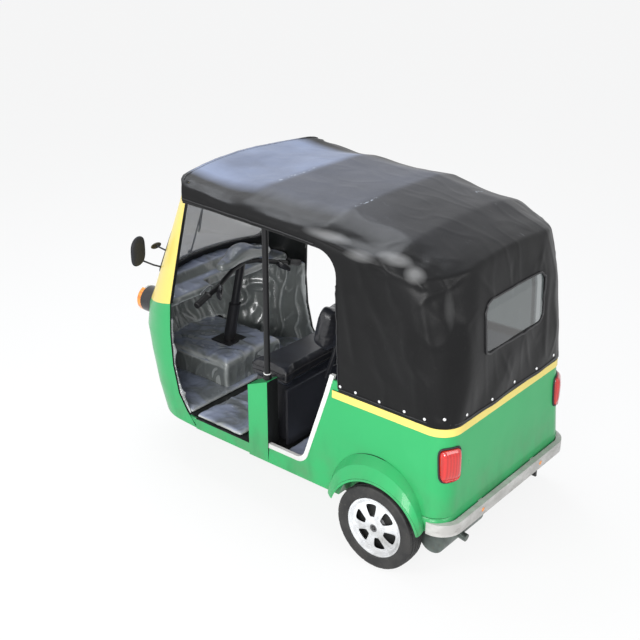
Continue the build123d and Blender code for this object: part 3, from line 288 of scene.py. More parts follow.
def lens(name, color, deep):
    look = Look(name, color, 0.1, Coat_Weight=1.0, Coat_Roughness=0.04)
    look.tint(look.ranged(look.bands(22, "Y"), 0.3, 0.9, 0, 0.6), deep)
    look.mottle(shade(color, 1.3, 0.04), (25, 4), 0.6, 0.8, 0.2)
    look.bump(look.bands(22, "Y"), 0.0008, 0.5).bump(look.bands(30, "Z"), 0.0003, 0.3).done()


def plastic(name, color, rough, speck=0.0003):
    look = Look(name, color, rough, Coat_Weight=0.15)
    look.mottle(shade(color, 2.2, 0.004), (12, 5), 0.45, 0.8, 0.5)
    look.rough((14, 5), rough * 0.8, rough * 1.3)
    look.bump((600, 2), speck, 0.4).done()


def bumper_paint():
    look = Look("bumper_grey", (0.43, 0.42, 0.4), 0.42)
    look.mottle((0.62, 0.61, 0.59), (9, 7, (1, 1, 2.4)), 0.42, 0.68, 0.75)
    look.mottle((0.34, 0.32, 0.29), (24, 7, (1, 1, 1), 1.2), 0.53, 0.66, 0.3)
    look.mottle((0.2, 0.18, 0.16), (60, 4, (0.25, 0.25, 1)), 0.68, 0.72, 0.4)
    look.rough((18, 6), 0.3, 0.65)
    look.bump((30, 6), 0.0012, 0.5).done()


def cast(name, color, rough, metal):
    look = Look(name, color, rough, metal)
    look.mottle(shade(color, 0.4), (11, 7), 0.42, 0.68, 0.75)
    look.mottle((0.16, 0.13, 0.09), (30, 6, (1, 1, 1), 0.8), 0.56, 0.72, 0.5)
    look.rough((20, 6), rough * 0.8, min(1, rough * 1.4))
    look.bump((260, 3), 0.0006, 0.5).done()


def rubber():
    look = Look("tyre_black", (0.014, 0.014, 0.0145), 0.62)
    look.mottle((0.045, 0.043, 0.04), (16, 6), 0.4, 0.75, 0.6)
    look.mottle((0.1, 0.09, 0.075), (50, 5), 0.6, 0.75, 0.3)
    look.rough((22, 5), 0.5, 0.8)
    look.bump((320, 3), 0.0005, 0.5).done()


def fine(name, slot, color, rough, metal=0.0, gloss=0.5):
    """Thread, studs and other small finishes: a worn tint and a fine texture."""
    look = Look(name, color, rough, metal, Specular_IOR_Level=gloss)
    look.mottle(shade(color, 0.55), (160, 4), 0.4, 0.7, 0.5)
    look.rough((90, 3), rough * 0.8, min(1, rough * 1.3))
    look.bump(look.bands(900, "DIAGONAL"), 0.0002, 0.4).done(slot)


# middle: faces turned towards this point get painted shade
painted("body_green", (0.032, 0.395, 0.126), middle=(-0.25, 0, 0.75))
painted("body_yellow", (0.86, 0.69, 0.17), dirt=0.3, middle=(0.2, 0, 1.2))
painted("trim_white", (0.78, 0.78, 0.76), 0.4, dirt=0.6, coat=0.15)
painted("frame_black", (0.016, 0.016, 0.018), 0.32, dirt=0.3)
painted("tube_black", (0.01, 0.01, 0.011), 0.36, dirt=0.2, coat=0.1)
painted("wheel_white", (0.8, 0.81, 0.83), 0.35, dirt=0.7)
canvas()
# top: colour of the painted sheen on flat faces; the last colour given: painted highlight on fold crests
vinyl("vinyl_black", (0.011, 0.011, 0.013), 0.3, (0.026, 0.028, 0.036), None)
vinyl("lining_black", (0.145, 0.157, 0.152), 0.24, (0.32, 0.36, 0.48), (0.45, 0.47, 0.465), 0.0002, 0.8)
glassy("screen_glass", (0.27, 0.275, 0.28), 0.55)
# the rear film: painted shade across its lower part and a painted highlight near its right edge
glassy("window_film", (0.1, 0.115, 0.115), 0.9, 0.16,
       (((0, -0.5, 1), 0.7, 1.118, (0.035, 0.04, 0.044)), ((0, -0.5, 1), 1.126, 1.158, (0.018, 0.018, 0.018)),
        ((0, 1, 0), -0.175, -0.155, (0.045, 0.05, 0.05)), ((0, 1, 0), -0.235, -0.205, (0.3, 0.32, 0.32))))
glassy("lamp_clear", (0.7, 0.72, 0.74), 0.55, 0.08)
lens("lamp_red", (0.6, 0.01, 0.007), (0.36, 0.003, 0.002))
lens("lamp_amber", (0.9, 0.3, 0.025), (0.6, 0.14, 0.01))
plastic("plastic_black", (0.016, 0.016, 0.018), 0.24)
plastic("plastic_matte", (0.022, 0.022, 0.024), 0.5, 0.0005)
bumper_paint()
cast("engine_grey", (0.13, 0.135, 0.135), 0.55, 0.6)
cast("muffler_grey", (0.17, 0.2, 0.185), 0.4, 0.7)
rubber()
fine("seam_black", "canvas_black", (0.02, 0.02, 0.022), 0.45)
fine("stud_metal", "trim_white", (0.85, 0.85, 0.85), 0.28, 0.3)
fine("hub_grey", "wheel_white", (0.16, 0.16, 0.165), 0.45, 0.6)
fine("lever_metal", "plastic_black", (0.3, 0.31, 0.32), 0.3, 0.8)
fine("drum_black", "plastic_matte", (0.022, 0.022, 0.021), 0.6, 0.3)
fine("rubber_grip", "plastic_matte", (0.016, 0.016, 0.017), 0.5)
# the spot mirror's glass: a painted dark yellowish reflection
fine("spot_painted_reflection", "plastic_black", (0.05, 0.042, 0.02), 0.25)
fine("mirror_black", "plastic_black", (0.03, 0.031, 0.036), 0.42, gloss=0.12)
for cad in nodes.values():
    for place in cad.material_slots:
        name = place.material.name.split(".")[0] if place.material else ""
        place.material = looks.get(name, looks["frame_black"])[0]


# ---------------------------------------------------------------- making pieces
def put(name, form, look, body="chassis", smooth=True):
    """Adds a mesh, or a bmesh with its normals made to face out, as a piece riding on a body."""
    mesh = form
    if isinstance(form, bmesh.types.BMesh):
        bmesh.ops.recalc_face_normals(form, faces=form.faces)
        mesh = bpy.data.meshes.new(name)
        form.to_mesh(mesh)
        form.free()
    piece = bpy.data.objects.new(name, mesh)
    scene.collection.objects.link(piece)
    mesh.materials.clear()
    material, own_slot = looks[look]
    mesh.materials.append(material)
    if smooth:
        mesh.polygons.foreach_set("use_smooth", [True] * len(mesh.polygons))
    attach(piece, body)
    return piece


def applied(piece, *modifiers):
    """Adds modifiers, given as a kind and its settings, and applies them all."""
    for kind, settings in modifiers:
        made = piece.modifiers.new(kind.lower(), kind)
        for key, value in settings.items():
            setattr(made, key, value)
    bpy.context.view_layer.update()
    evaluated = piece.evaluated_get(bpy.context.evaluated_depsgraph_get())
    mesh = bpy.data.meshes.new_from_object(evaluated)
    piece.modifiers.clear()
    old = piece.data
    piece.data = mesh
    bpy.data.meshes.remove(old)
    mesh.polygons.foreach_set("use_smooth", [True] * len(mesh.polygons))
    return piece


def subdivided(piece, levels=1):
    return applied(piece, ("SUBSURF", {"levels": levels, "render_levels": levels}))


def thickened(piece, thickness, offset=0.0):
    return applied(piece, ("SOLIDIFY", {"thickness": thickness, "offset": offset}))


def remeshed(piece, voxel, iterations):
    """Gives a piece an even mesh, a little smoothed."""
    return applied(piece, ("REMESH", {"mode": "VOXEL", "voxel_size": voxel}),
                   ("SMOOTH", {"factor": 0.5, "iterations": iterations}))


def opened(piece):
    bm = bmesh.new()
    bm.from_mesh(piece.data)
    return bm


def outward(bm):
    """The mesh's points, each with the way out there."""
    bm.normal_update()
    return [(vert, vert.normal.copy()) for vert in bm.verts]


def kept(bm, piece):
    bm.to_mesh(piece.data)
    bm.free()


def turns(count):
    return [2 * pi * k / count for k in range(count)]


def squarish(t, power):
    """A point of a circle drawn out towards its corners, at angle t."""
    return [copysign(abs(c) ** power, c) for c in (cos(t), sin(t))]


def rounded(corners, r, steps):
    """A rounded outline round its corners' middles, anticlockwise from the upper right one."""
    return [(y + r * cos(t), z + r * sin(t)) for start, (y, z) in enumerate(corners)
            for t in (pi / 2 * (start + k / steps) for k in range(steps + 1))]


def skin(rings, caps=(0, -1), around=None, gap=lambda row, k: False, bm=None):
    """Joins rings of points to each other with faces, and closes the ends in caps.

    With around, the last ring is joined to the first, turned by that many points.
    """
    bm = bmesh.new() if bm is None else bm
    rings = [[bm.verts.new(point) for point in ring] for ring in rings]
    if around is not None:
        rings.append(rings[0][around:] + rings[0][:around])
    for row, (a, b) in enumerate(zip(rings, rings[1:])):
        for k in range(len(a)):
            n = (k + 1) % len(a)
            if not gap(row, k):
                bm.faces.new((a[k], a[n], b[n], b[k]))
    for end in caps:
        bm.faces.new(rings[end])
    return bm


def tube(name, points, radius, look, body="chassis", closed=False, sides=10, flat=1.0):
    """A round or flattened bead along points."""
    points = [Vector(p) for p in points]
    count = len(points)
    rings, across, shift = [], None, None
    for i, point in enumerate(points):
        ahead = points[(i + 1) % count] if closed or i < count - 1 else point
        behind = points[i - 1] if closed or i > 0 else point
        way = (ahead - behind).normalized()
        if across is None:
            across = way.orthogonal().normalized()
        across = (across - way * across.dot(way)).normalized()
        third = way.cross(across)
        rings.append([point + (across * cos(t) + third * sin(t) * flat) * radius for t in turns(sides)])
    if closed:
        shift = min(range(sides), key=lambda k: (rings[0][k] - rings[-1][0]).length)
    return put(name, skin(rings, () if closed else (0, -1), shift), look, body)


def tree_of(*names):
    """A ray and nearest-point tree of CAD nodes or pieces."""
    verts, faces = [], []
    for name in names:
        mesh = (nodes.get(name) or bpy.data.objects[name]).data
        first = len(verts)
        verts += [v.co.copy() for v in mesh.vertices]
        faces += [[first + i for i in face.vertices] for face in mesh.polygons]
    return BVHTree.FromPolygons(verts, faces)


def smoothstep(low, high, x):
    t = min(1.0, max(0.0, (x - low) / (high - low)))
    return t * t * (3 - 2 * t)


def near_segment(p, a, b):
    """Distance from the segment a to b, and the share of the way along it."""
    run = b - a
    t = min(1.0, max(0.0, (p - a).dot(run) / run.length_squared))
    return (p - a - run * t).length, t


def cut_region(bm, outline, plane, keep=lambda centre: True):
    """Cuts the mesh along a polygon given in two axes, and removes what lies inside it."""
    u, v = plane
    near = 0.012
    runs = list(zip(outline, outline[1:] + outline[:1]))
    for (u0, v0), (u1, v1) in runs:
        low_u, high_u = min(u0, u1) - near, max(u0, u1) + near
        low_v, high_v = min(v0, v1) - near, max(v0, v1) + near
        faces = []
        for face in bm.faces:
            us = [vert.co[u] for vert in face.verts]
            vs = [vert.co[v] for vert in face.verts]
            if max(us) > low_u and min(us) < high_u and max(vs) > low_v and min(vs) < high_v:
                if keep(face.calc_center_median()):
                    faces.append(face)
        geometry = set(faces)
        for face in faces:
            geometry.update(face.edges)
            geometry.update(face.verts)
        place, normal = [0.0] * 3, [0.0] * 3
        place[u], place[v] = u0, v0
        normal[u], normal[v] = v1 - v0, u0 - u1
        bmesh.ops.bisect_plane(bm, geom=list(geometry), dist=1e-6, plane_co=place, plane_no=normal)
    gone = []
    for face in bm.faces:
        centre = face.calc_center_median()
        x, y = centre[u], centre[v]
        crossed = [(v0 > y) != (v1 > y) and x < (u1 - u0) * (y - v0) / (v1 - v0) + u0
                   for (u0, v0), (u1, v1) in runs]
        if keep(centre) and sum(crossed) % 2:
            gone.append(face)
    bmesh.ops.delete(bm, geom=gone, context="FACES")


# ---------------------------------------------------------------- hood
hood_nodes = ("hood_roof", "hood_sides", "hood_rear")
hem_z, nose_clear = 0.833, 0.002
# the hood's front edge in plan, from the middle to the left
hood_nose = ((0.668, 0.0), (0.6665, 0.06), (0.661, 0.13), (0.652, 0.2), (0.64, 0.27), (0.624, 0.35),
             (0.606, 0.43), (0.588, 0.495), (0.565, 0.535), (0.535, 0.562), (0.5, 0.6))
curtain_front_x, curtain_corner = -0.492, 0.12
valance = ((0.523, 1.596), (-0.149, 1.571))
bows = (0.6, 0.118, -0.405, -0.79, -1.000)
window_box = (-0.26, 0.26, 1.125, 1.38)
window_corner = 0.045
skin_lift, header_gap, canvas_thickness = 0.0015, 0.0062, 0.003
# the hull is drawn out past the hem and the nose, and cut back after it is remeshed
past_hem, past_nose, canvas_voxel = 0.05, 0.12, 0.0105
# folds of the canvas in millimetres: start, end, width, height
folds = (
    (-300, 565, 1635, -700, 578, 1560, 22, 11),
    (-440, 530, 1670, -720, 500, 1645, 30, -7),
    (-690, 550, 1610, -900, 515, 1580, 34, 13),
    (-890, 520, 1585, -955, 535, 1470, 22, 11),
    (-700, 580, 1545, -945, 540, 1475, 16, -10),
    (-790, 577, 1270, -966, 535, 1452, 14, 6),
    (-966, 535, 1452, -1051, 410, 1530, 14, 6),
    (-800, 470, 1630, -970, 440, 1560, 20, 6),
    (-900, 440, 1610, -1030, 470, 1420, 24, 7),
    (-950, 550, 1420, -1020, 530, 1120, 18, 6),
    (-1000, 500, 1420, -1070, 460, 1100, 20, 7),
    (-1050, 420, 1450, -1110, 400, 1180, 24, 5),
    (-930, 560, 1200, -960, 550, 900, 20, 4),
    (-620, 575, 1520, -780, 578, 1220, 30, 4),
    (-520, 570, 1480, -600, 570, 1050, 22, 4),
    (-700, 570, 1300, -860, 570, 980, 30, -3),
    (-600, -575, 1500, -800, -578, 1200, 30, 4),
    (-340, -565, 1630, -720, -578, 1555, 22, 10),
    (-690, -550, 1610, -920, -515, 1575, 34, 12),
    (-700, -580, 1545, -945, -540, 1475, 16, -9),
    (-800, -500, 1610, -985, -500, 1440, 20, 8),
    (-1000, -500, 1420, -1070, -460, 1100, 20, 7),
    (-1060, 320, 1520, -1100, 200, 1400, 16, 4),
    (-1060, -300, 1520, -1100, -220, 1400, 16, 4),
    (-1090, 0, 1500, -1120, 30, 1390, 20, -3),
    (-1120, -310, 1360, -1130, -300, 920, 20, 4),
    (-1130, 120, 1090, -1130, 20, 900, 16, 3),
    (-1130, -100, 1100, -1130, -160, 900, 16, 3),
)
folds = [[c / 1000 for c in row] for row in folds]
folds = [(Vector(row[:3]), Vector(row[3:6]), row[6], row[7]) for row in folds]


roof_tree = tree_of("hood_roof")
shoulder_start, shoulder_end, shoulder_drop = 0.34, 0.55, 0.03


def lowered(p):
    """A point of the hood or its bows, let down at the hood's wide shoulders."""
    x = min(0.55, max(-1.05, p.x))
    crown = roof_tree.ray_cast(Vector((x, 0, 2.5)), Vector((0, 0, -1)))[0].z
    drop = shoulder_drop * smoothstep(shoulder_start, shoulder_end, abs(p.y))
    drop *= smoothstep(0.13, 0.04, crown - p.z)
    return Vector((p.x, p.y, p.z - drop * smoothstep(0.44, 0.16, p.x)))


def canvas_lift(p, normal):
    """How far the canvas stands out from the CAD's skin at a point."""
    flatness = smoothstep(0.55, 0.9, normal.z) * smoothstep(0.62, 0.46, p.x)
    lift = 0.0
    for front, back in zip(bows, bows[1:]):
        if back < p.x < front:
            t = (front - p.x) / (front - back)
            edge = smoothstep(0.15, 0.5, abs(p.y))
            depth = (0.018, 0.012, 0.01, 0.007)[bows.index(front)]
            lift -= flatness * depth * (0.45 + 0.55 * edge) * sin(pi * t) ** 1.3
    if p.z < 1.5 and abs(normal.y) > 0.7 and p.z > hem_z:
        span = sin(pi * smoothstep(hem_z, 1.55, p.z))
        lift -= 0.006 * span * sin(pi * smoothstep(-1.0, curtain_front_x, p.x)) ** 2
    if normal.x < -0.8 and p.z < 1.5:
        lift += 0.003 * sin(p.y * 16 + 2.2 * sin(p.z * 7)) * smoothstep(1.5, 1.3, p.z)
    for a, b, width, height in folds:
        away, t = near_segment(p, a, b)
        if away < 3 * width:
            lift += height * exp(-(away / width) ** 2) * sin(pi * (0.08 + 0.84 * t)) ** 0.7
    lift += 0.0045 * noise.noise(p * 3.1) + 0.0022 * noise.noise(p * 8.3 + Vector((3, 1, 4)))
    crease = 1 - abs(noise.noise(Vector((p.x * 5, p.y * 9, p.z * 4)) + Vector((9, 2, 5)))) * 6
    corner = smoothstep(0.3, 0.5, abs(p.y)) * smoothstep(-0.55, -0.85, p.x)
    lift += max(0.0, crease) * (0.0012 + 0.0028 * corner)
    return lift


def hood_sheet():
    """The canvas: one sheet over the CAD's hood, with its door openings and window cut out."""
    bm = bmesh.new()
    for name in hood_nodes:
        bm.from_mesh(nodes[name].data)
    spots = {tuple(round(c, 4) for c in v.co) for v in bm.verts}
    for x, y, z in list(spots):
        if z < hem_z + 0.004:
            spots.add((x, y, z - past_hem))
        if x > 0.5:
            spots.add((x + past_nose, y, z))
    bm.clear()
    for spot in spots:
        bm.verts.new(spot)
    bm.verts.ensure_lookup_table()
    hull = bmesh.ops.convex_hull(bm, input=bm.verts)
    skin_verts = {v for g in hull["geom"] if isinstance(g, bmesh.types.BMFace) for v in g.verts}
    bmesh.ops.delete(bm, geom=[v for v in bm.verts if v not in skin_verts], context="VERTS")
    piece = remeshed(put("hood_canvas", bm, "canvas_black"), canvas_voxel, 6)
    bm = opened(piece)
    far, past_middle = 2.0, 0.02
    hem = hem_z + 0.002
    cut_region(bm, ((-far, -far), (far, -far), (far, hem), (-far, hem)), (0, 2))
    nose = [(x - nose_clear, y) for x, y in hood_nose] + [(far, 0.6), (far, 0.0)]
    cut_region(bm, nose, (0, 1), lambda c: c.y > -past_middle)
    cut_region(bm, [(x, -y) for x, y in nose], (0, 1), lambda c: c.y < past_middle)
    r, top = curtain_corner, valance[1][1] - 0.012
    corner = [(curtain_front_x + r - r * cos(t), top - r + r * sin(t))
              for t in (pi / 2 * k / 8 for k in range(9))]
    door = [(curtain_front_x, 0.5)] + corner + [valance[1], valance[0], (far, 1.6), (far, 0.5)]
    cut_region(bm, door, (0, 2))
    low_y, high_y, low_z, high_z = window_box
    r = window_corner
    hole = rounded(((high_y - r, high_z - r), (low_y + r, high_z - r), (low_y + r, low_z + r),
                    (high_y - r, low_z + r)), r, 4)
    cut_region(bm, hole, (1, 2), lambda c: c.x < -0.9)
    bmesh.ops.delete(bm, geom=[f for f in bm.faces if f.normal.z < -0.6], context="FACES")
    bmesh.ops.dissolve_degenerate(bm, dist=0.0006, edges=bm.edges)
    header = tree_of("windshield_frame")
    for vert, way in outward(bm):
        vert.co = lowered(vert.co) + way * (canvas_lift(vert.co, way) + skin_lift)
        if vert.co.x > 0.42:
            hit = header.ray_cast(vert.co + way * 0.05, -way, 0.056)[0]
            if hit is not None:
                vert.co += way * max(0.0, header_gap - (vert.co - hit).dot(way))
    kept(bm, piece)
    thickened(piece, canvas_thickness, -1.0)
    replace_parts(piece, *hood_nodes)
    return piece


def hood_bows():
    """The hood's tubes, bent down with the canvas at its shoulders."""
    mesh = nodes["hood_frame"].data.copy()
    for vert in mesh.vertices:
        vert.co = lowered(vert.co)
    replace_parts(put("hood_bows", mesh, "tube_black", smooth=False), "hood_frame")


canvas_piece = hood_sheet()
hood_bows()


def on_canvas(points, lift=0.0015):
    """Moves points onto the canvas, a little proud of it."""
    made = []
    for point in points:
        spot, normal, _, _ = canvas_tree.find_nearest(Vector(point))
        if normal.dot(spot - Vector((spot.x * 0.75, 0, 1.1))) < 0:
            normal = -normal
        made.append(spot + normal * lift)
    return made


def spread(points, step=0.02):
    """Divides runs of points into short steps."""
    made = [Vector(points[0])]
    for a, b in zip(points, points[1:]):
        a, b = Vector(a), Vector(b)
        count = max(1, round((b - a).length / step))
        made += [a.lerp(b, k / count) for k in range(1, count + 1)]
    return made


def nose_line(inset):
    """The canvas's front edge from left to right, set back by inset."""
    half = hood_nose[:-2]
    return [(x - inset, y, 1.705) for x, y in reversed(half)] + [(x - inset, -y, 1.705) for x, y in half[1:]]


canvas_tree = tree_of("hood_canvas")
seam_x, hem_seam_z = curtain_front_x + 0.014, 0.852
seams = {"front": nose_line(0.022), "hem_rear": [(x, y, hem_seam_z) for x, y in (
    (-1.1, 0.5), (-1.14, 0.4), (-1.14, 0.0), (-1.14, -0.4), (-1.1, -0.5))]}
for tag, side in hands:
    seams["hem_" + tag] = [(x, side * y, hem_seam_z) for x, y in
                           ((-0.485, 0.57), (-0.75, 0.57), (-1.01, 0.55))]
    seams["curtain_" + tag] = [(seam_x, side * 0.6, z) for z in (0.85, 1.0, 1.2, 1.4)]
    seams["valance_" + tag] = [(x, side * 0.6, z) for x, z in
                               ((0.515, 1.612), (0.2, 1.602), (-0.149, 1.588), (-0.36, 1.574))]
for name, route in seams.items():
    tube("seam_" + name, on_canvas(spread(route)), 0.0028, "seam_black", sides=6)
border = rounded(((0.215, 1.335), (-0.215, 1.335), (-0.215, 1.17), (0.215, 1.17)), 0.051, 6)
border = [(-1.2, y, z) for y, z in border]
border = spread(border + border[:1])[:-1]
tube("window_border", on_canvas(border, 0.002), 0.0055, "seam_black", closed=True, sides=8)


def studs():
    """Domed studs along the canvas's hem."""
    bm = bmesh.new()
    rows = [(x, side * 0.57, 0.868) for x in (-0.505, -0.6, -0.74, -0.886, -1.0) for side in (1, -1)]
    rows += [(-1.2, y, 0.876) for y in (0.41, 0.2, -0.02, -0.22, -0.41)]
    rows += [(-1.09, side * 0.53, 0.885) for side in (1, -1)]
    profile = ((0.0078, 0.0), (0.0078, 0.002), (0.0062, 0.0036), (0.0036, 0.0046), (0.0012, 0.005))
    for row in rows:
        spot, normal, _, _ = canvas_tree.find_nearest(Vector(row))
        if normal.dot(Vector((spot.x * 0.3, spot.y, 0))) < 0:
            normal = -normal
        turn = normal.to_track_quat("Z", "Y").to_matrix().to_4x4()
        skin([[spot + turn @ Vector((radius * cos(t), radius * sin(t), height)) for t in turns(14)]
              for radius, height in profile], bm=bm)
    put("hood_studs", bm, "stud_metal")


studs()


# ---------------------------------------------------------------- seats
cloth_frames = 20


def swollen(piece):
    """Where a pressed cloth takes a piece's points."""
    made = piece.modifiers.new("cloth", "CLOTH")
    for key, value in (("quality", 5), ("use_pressure", True), ("uniform_pressure_force", 4.0),
                       ("tension_stiffness", 12), ("compression_stiffness", 12), ("bending_stiffness", 0.4),
                       ("mass", 0.3)):
        setattr(made.settings, key, value)
    made.settings.effector_weights.gravity = 0
    made.point_cache.frame_start, made.point_cache.frame_end = 1, cloth_frames
    for number in range(1, cloth_frames + 1):
        scene.frame_set(number)
        bpy.context.view_layer.update()
    evaluated = piece.evaluated_get(bpy.context.evaluated_depsgraph_get())
    points = [v.co.copy() for v in evaluated.data.vertices]
    piece.modifiers.clear()
    return points


def cushion(name, node, shrink, cap, voxel=0.0095):
    """A stuffed cushion, swollen by a cloth simulation from a slightly smaller start."""
    piece = remeshed(put(name, nodes[node].data.copy(), "vinyl_black"), voxel, 4)
    low, high = (Vector(c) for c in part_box(node))
    middle = (low + high) / 2
    size = high - low
    for vert in piece.data.vertices:
        for axis in range(3):
            vert.co[axis] = middle[axis] + (vert.co[axis] - middle[axis]) * (1 - 2 * shrink / size[axis])
    start = [v.co.copy() for v in piece.data.vertices]
    for vert, was, now in zip(piece.data.vertices, start, swollen(piece)):
        move = now - was
        vert.co = was + (move * (cap / move.length) if move.length > cap else move)
    scene.frame_set(1)
    bm = opened(piece)
    bmesh.ops.smooth_vert(bm, verts=bm.verts, factor=0.5, use_axis_x=True, use_axis_y=True, use_axis_z=True)
    for vert, way in outward(bm):
        p = vert.co
        crease = 1 - 7 * abs(noise.noise(Vector((p.x * 9, p.y * 7, p.z * 12))))
        vert.co += way * (0.0035 * noise.noise(p * 6.5) + 0.0018 * max(0.0, crease))
        for axis in range(3):
            vert.co[axis] = min(high[axis] + 0.004, max(low[axis] - 0.002, vert.co[axis]))
    kept(bm, piece)
    subdivided(piece)
    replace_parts(piece, node)


def middle_of(points):
    """The middle of the box round points."""
    return Vector([(min(p[i] for p in points) + max(p[i] for p in points)) / 2 for i in range(3)])


def welt(name, cushion_name, level, half_x, half_y):
    """A welt round a cushion, sewn on at a height, following its surface."""
    tree = tree_of(cushion_name)
    middle = middle_of([v.co for v in bpy.data.objects[cushion_name].data.vertices])
    made = []
    for t in turns(96):
        u, v = squarish(t, 0.3)
        far = Vector((middle.x, middle.y, level)) + Vector((u * half_x, v * half_y, 0)) * 1.4
        made.append(tree.find_nearest(far)[0])
    tube(name, made, 0.0045, "seam_black", closed=True, sides=7)


cushion("driver_cushion", "driver_seat_cushion", 0.008, 0.024)
cushion("driver_backrest", "driver_seat_back", 0.008, 0.022)
cushion("passenger_cushion", "bench_cushion", 0.009, 0.026, 0.012)
cushion("passenger_backrest", "bench_back", 0.008, 0.022, 0.012)
for name, half_x, half_y, top, low in (("driver_cushion", 0.14, 0.48, 0.752, 0.692),
                                       ("passenger_cushion", 0.22, 0.52, 0.71, 0.638)):
    welt(name + "_welt_top", name, top, half_x, half_y)
    welt(name + "_welt_low", name, low, half_x, half_y)


# ---------------------------------------------------------------- lining and floor covering
def crumpled(name, node, height, under, seed, over=False):
    """A loose glossy covering with folds, in place of a CAD node or, with over, on top of it."""
    piece = remeshed(put(name, nodes[node].data.copy(), "lining_black"), 0.0085, 3)
    shell = tree_of(under)
    reach, wander = 0.009, 0.09
    shift = Vector(seed)
    bm = opened(piece)
    for vert, way in outward(bm):
        p = vert.co
        near = shell.find_nearest(p, reach)[0]
        if near is not None and (near - p).dot(way) > -0.0005:
            continue
        loose = noise.noise(p * 4 + shift)
        q = p + Vector((loose, noise.noise(p * 4 - shift), noise.noise(p * 4 + shift * 2))) * wander
        fold = 1 - abs(noise.noise(Vector((q.x * 6, q.y * 7.5, q.z * 3.2)) + shift)) * 3.4
        pleat = 1 - abs(noise.noise(Vector((q.x * 13, q.y * 14, q.z * 6)) - shift)) * 4.2
        lift = 0.62 * max(0.0, fold) ** 1.3 + 0.2 * max(0.0, pleat) + 0.3 * (0.5 + loose)
        vert.co += way * height * lift
    kept(bm, piece)
    if not over:
        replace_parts(piece, node)


crumpled("apron_cover", "apron_lining", 0.022, "front_apron", (3, 7, 1))
crumpled("hump_cover", "front_wheelhouse", 0.012, "front_apron", (1, 4, 8), over=True)
crumpled("floor_cover", "floor_mats", 0.009, "floor_pan", (6, 2, 5))
crumpled("dash_cover", "dashboard", 0.008, "front_apron", (5, 5, 2))


# ---------------------------------------------------------------- wheels
# each wheel's middle and outer side, and half its tyre's width
wheel_places = {"front": ((0.87, 0.0, 1), 0.05), "rear_left": ((-0.79, 0.592, 1), 0.056),
                "rear_right": ((-0.79, -0.592, -1), 0.056)}
wheel_radius, lug_radius = 0.225, 0.211
rib, groove, lug = 1, 2, 3
# the tread's steps round, and how many of them lie between two slots of a lug or a rib
tread_steps, lug_every, rib_every = 216, 9, 12


def turned_point(at, radius, angle, out):
    """A point round a wheel's axis, out from its middle plane."""
    x, y, side = at
    return Vector((x + radius * cos(angle), y + side * out, wheel_radius + radius * sin(angle)))


# turned parts: name, look, steps round, and the profile's radii and how far out each is
wheel_parts = (
    ("rim", "wheel_white", 72, (
        (0.1475, 0.0478), (0.153, 0.05), (0.1585, 0.0488), (0.1565, 0.044), (0.1535, 0.04), (0.1515, 0.028),
        (0.1515, -0.028), (0.1535, -0.04), (0.1565, -0.044), (0.1585, -0.0488), (0.153, -0.05),
        (0.149, -0.046), (0.149, 0.04))),
    ("drum", "drum_black", 72, (
        (0.0245, 0.016), (0.06, 0.021), (0.075, 0.014), (0.108, 0.012), (0.114, 0.005), (0.1465, 0.003),
        (0.1465, -0.006), (0.118, -0.01), (0.118, -0.024), (0.0245, -0.024))),
    ("hub", "hub_grey", 72, (
        (0.0118, 0.03), (0.0118, 0.052), (0.02, 0.052), (0.0225, 0.05), (0.0235, 0.044), (0.0235, 0.03),
        (0.058, 0.02), (0.06, -0.028), (0.03, -0.032), (0.0118, -0.032))),
    ("nut", "plastic_black", 24, (
        (0.0004, 0.0455), (0.0004, 0.0565), (0.006, 0.0562), (0.0105, 0.0545), (0.0112, 0.0515),
        (0.0112, 0.046))))


def lathe(name, at, body, profile, look, steps):
    """A turned form round a wheel's axis."""
    rings = [[turned_point(at, radius, angle, out) for radius, out in profile] for angle in turns(steps)]
    return put(name, skin(rings, (), 0), look, body)


def tyre(name, at, half, body):
    """A cross-ply tyre: ribbed tread with slots, a shoulder, and rings on the side wall."""
    # rows: share of the half width, radius, kind (0 is plain)
    rows = [(-0.8, 0.157, 0), (-0.86, 0.16, 0), (-0.935, 0.166, 0), (-0.965, 0.171, 0), (-0.955, 0.1725, 0),
            (-0.985, 0.176, 0), (-1.0, 0.186, 0), (-1.0, 0.198, 0), (-0.985, 0.203, 0), (-0.99, 0.2045, 0),
            (-0.955, 0.2135, lug), (-0.89, 0.2195, lug), (-0.8, 0.2215, lug), (-0.64, 0.2228, lug),
            (-0.6, 0.2228, groove), (-0.54, 0.2228, groove), (-0.5, 0.2232, rib), (-0.24, 0.2246, rib),
            (-0.2, 0.2246, groove), (-0.14, 0.2246, groove), (-0.1, 0.2249, rib)]
    rows += [(-share, radius, kind) for share, radius, kind in reversed(rows)]
    rings = []
    for k, angle in enumerate(turns(tread_steps)):
        ring = []
        for share, radius, kind in rows:
            depth = 0.0
            if kind == groove:
                depth = 0.005
            elif kind == lug and k % lug_every == 0:
                depth = 0.0016
            elif kind == rib and (k + (3 if abs(share) < 0.2 else 0)) % rib_every == 0:
                depth = 0.002
            ring.append(turned_point(at, radius - depth, angle, share * half))
        rings.append(ring)
    piece = put("tyre_tread_" + name, skin(rings, (), 0), "tyre_black", body, smooth=False)
    for face in piece.data.polygons:
        face.use_smooth = hypot(face.center.x - at[0], face.center.z - wheel_radius) < lug_radius
    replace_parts(piece, "tyre_" + name)


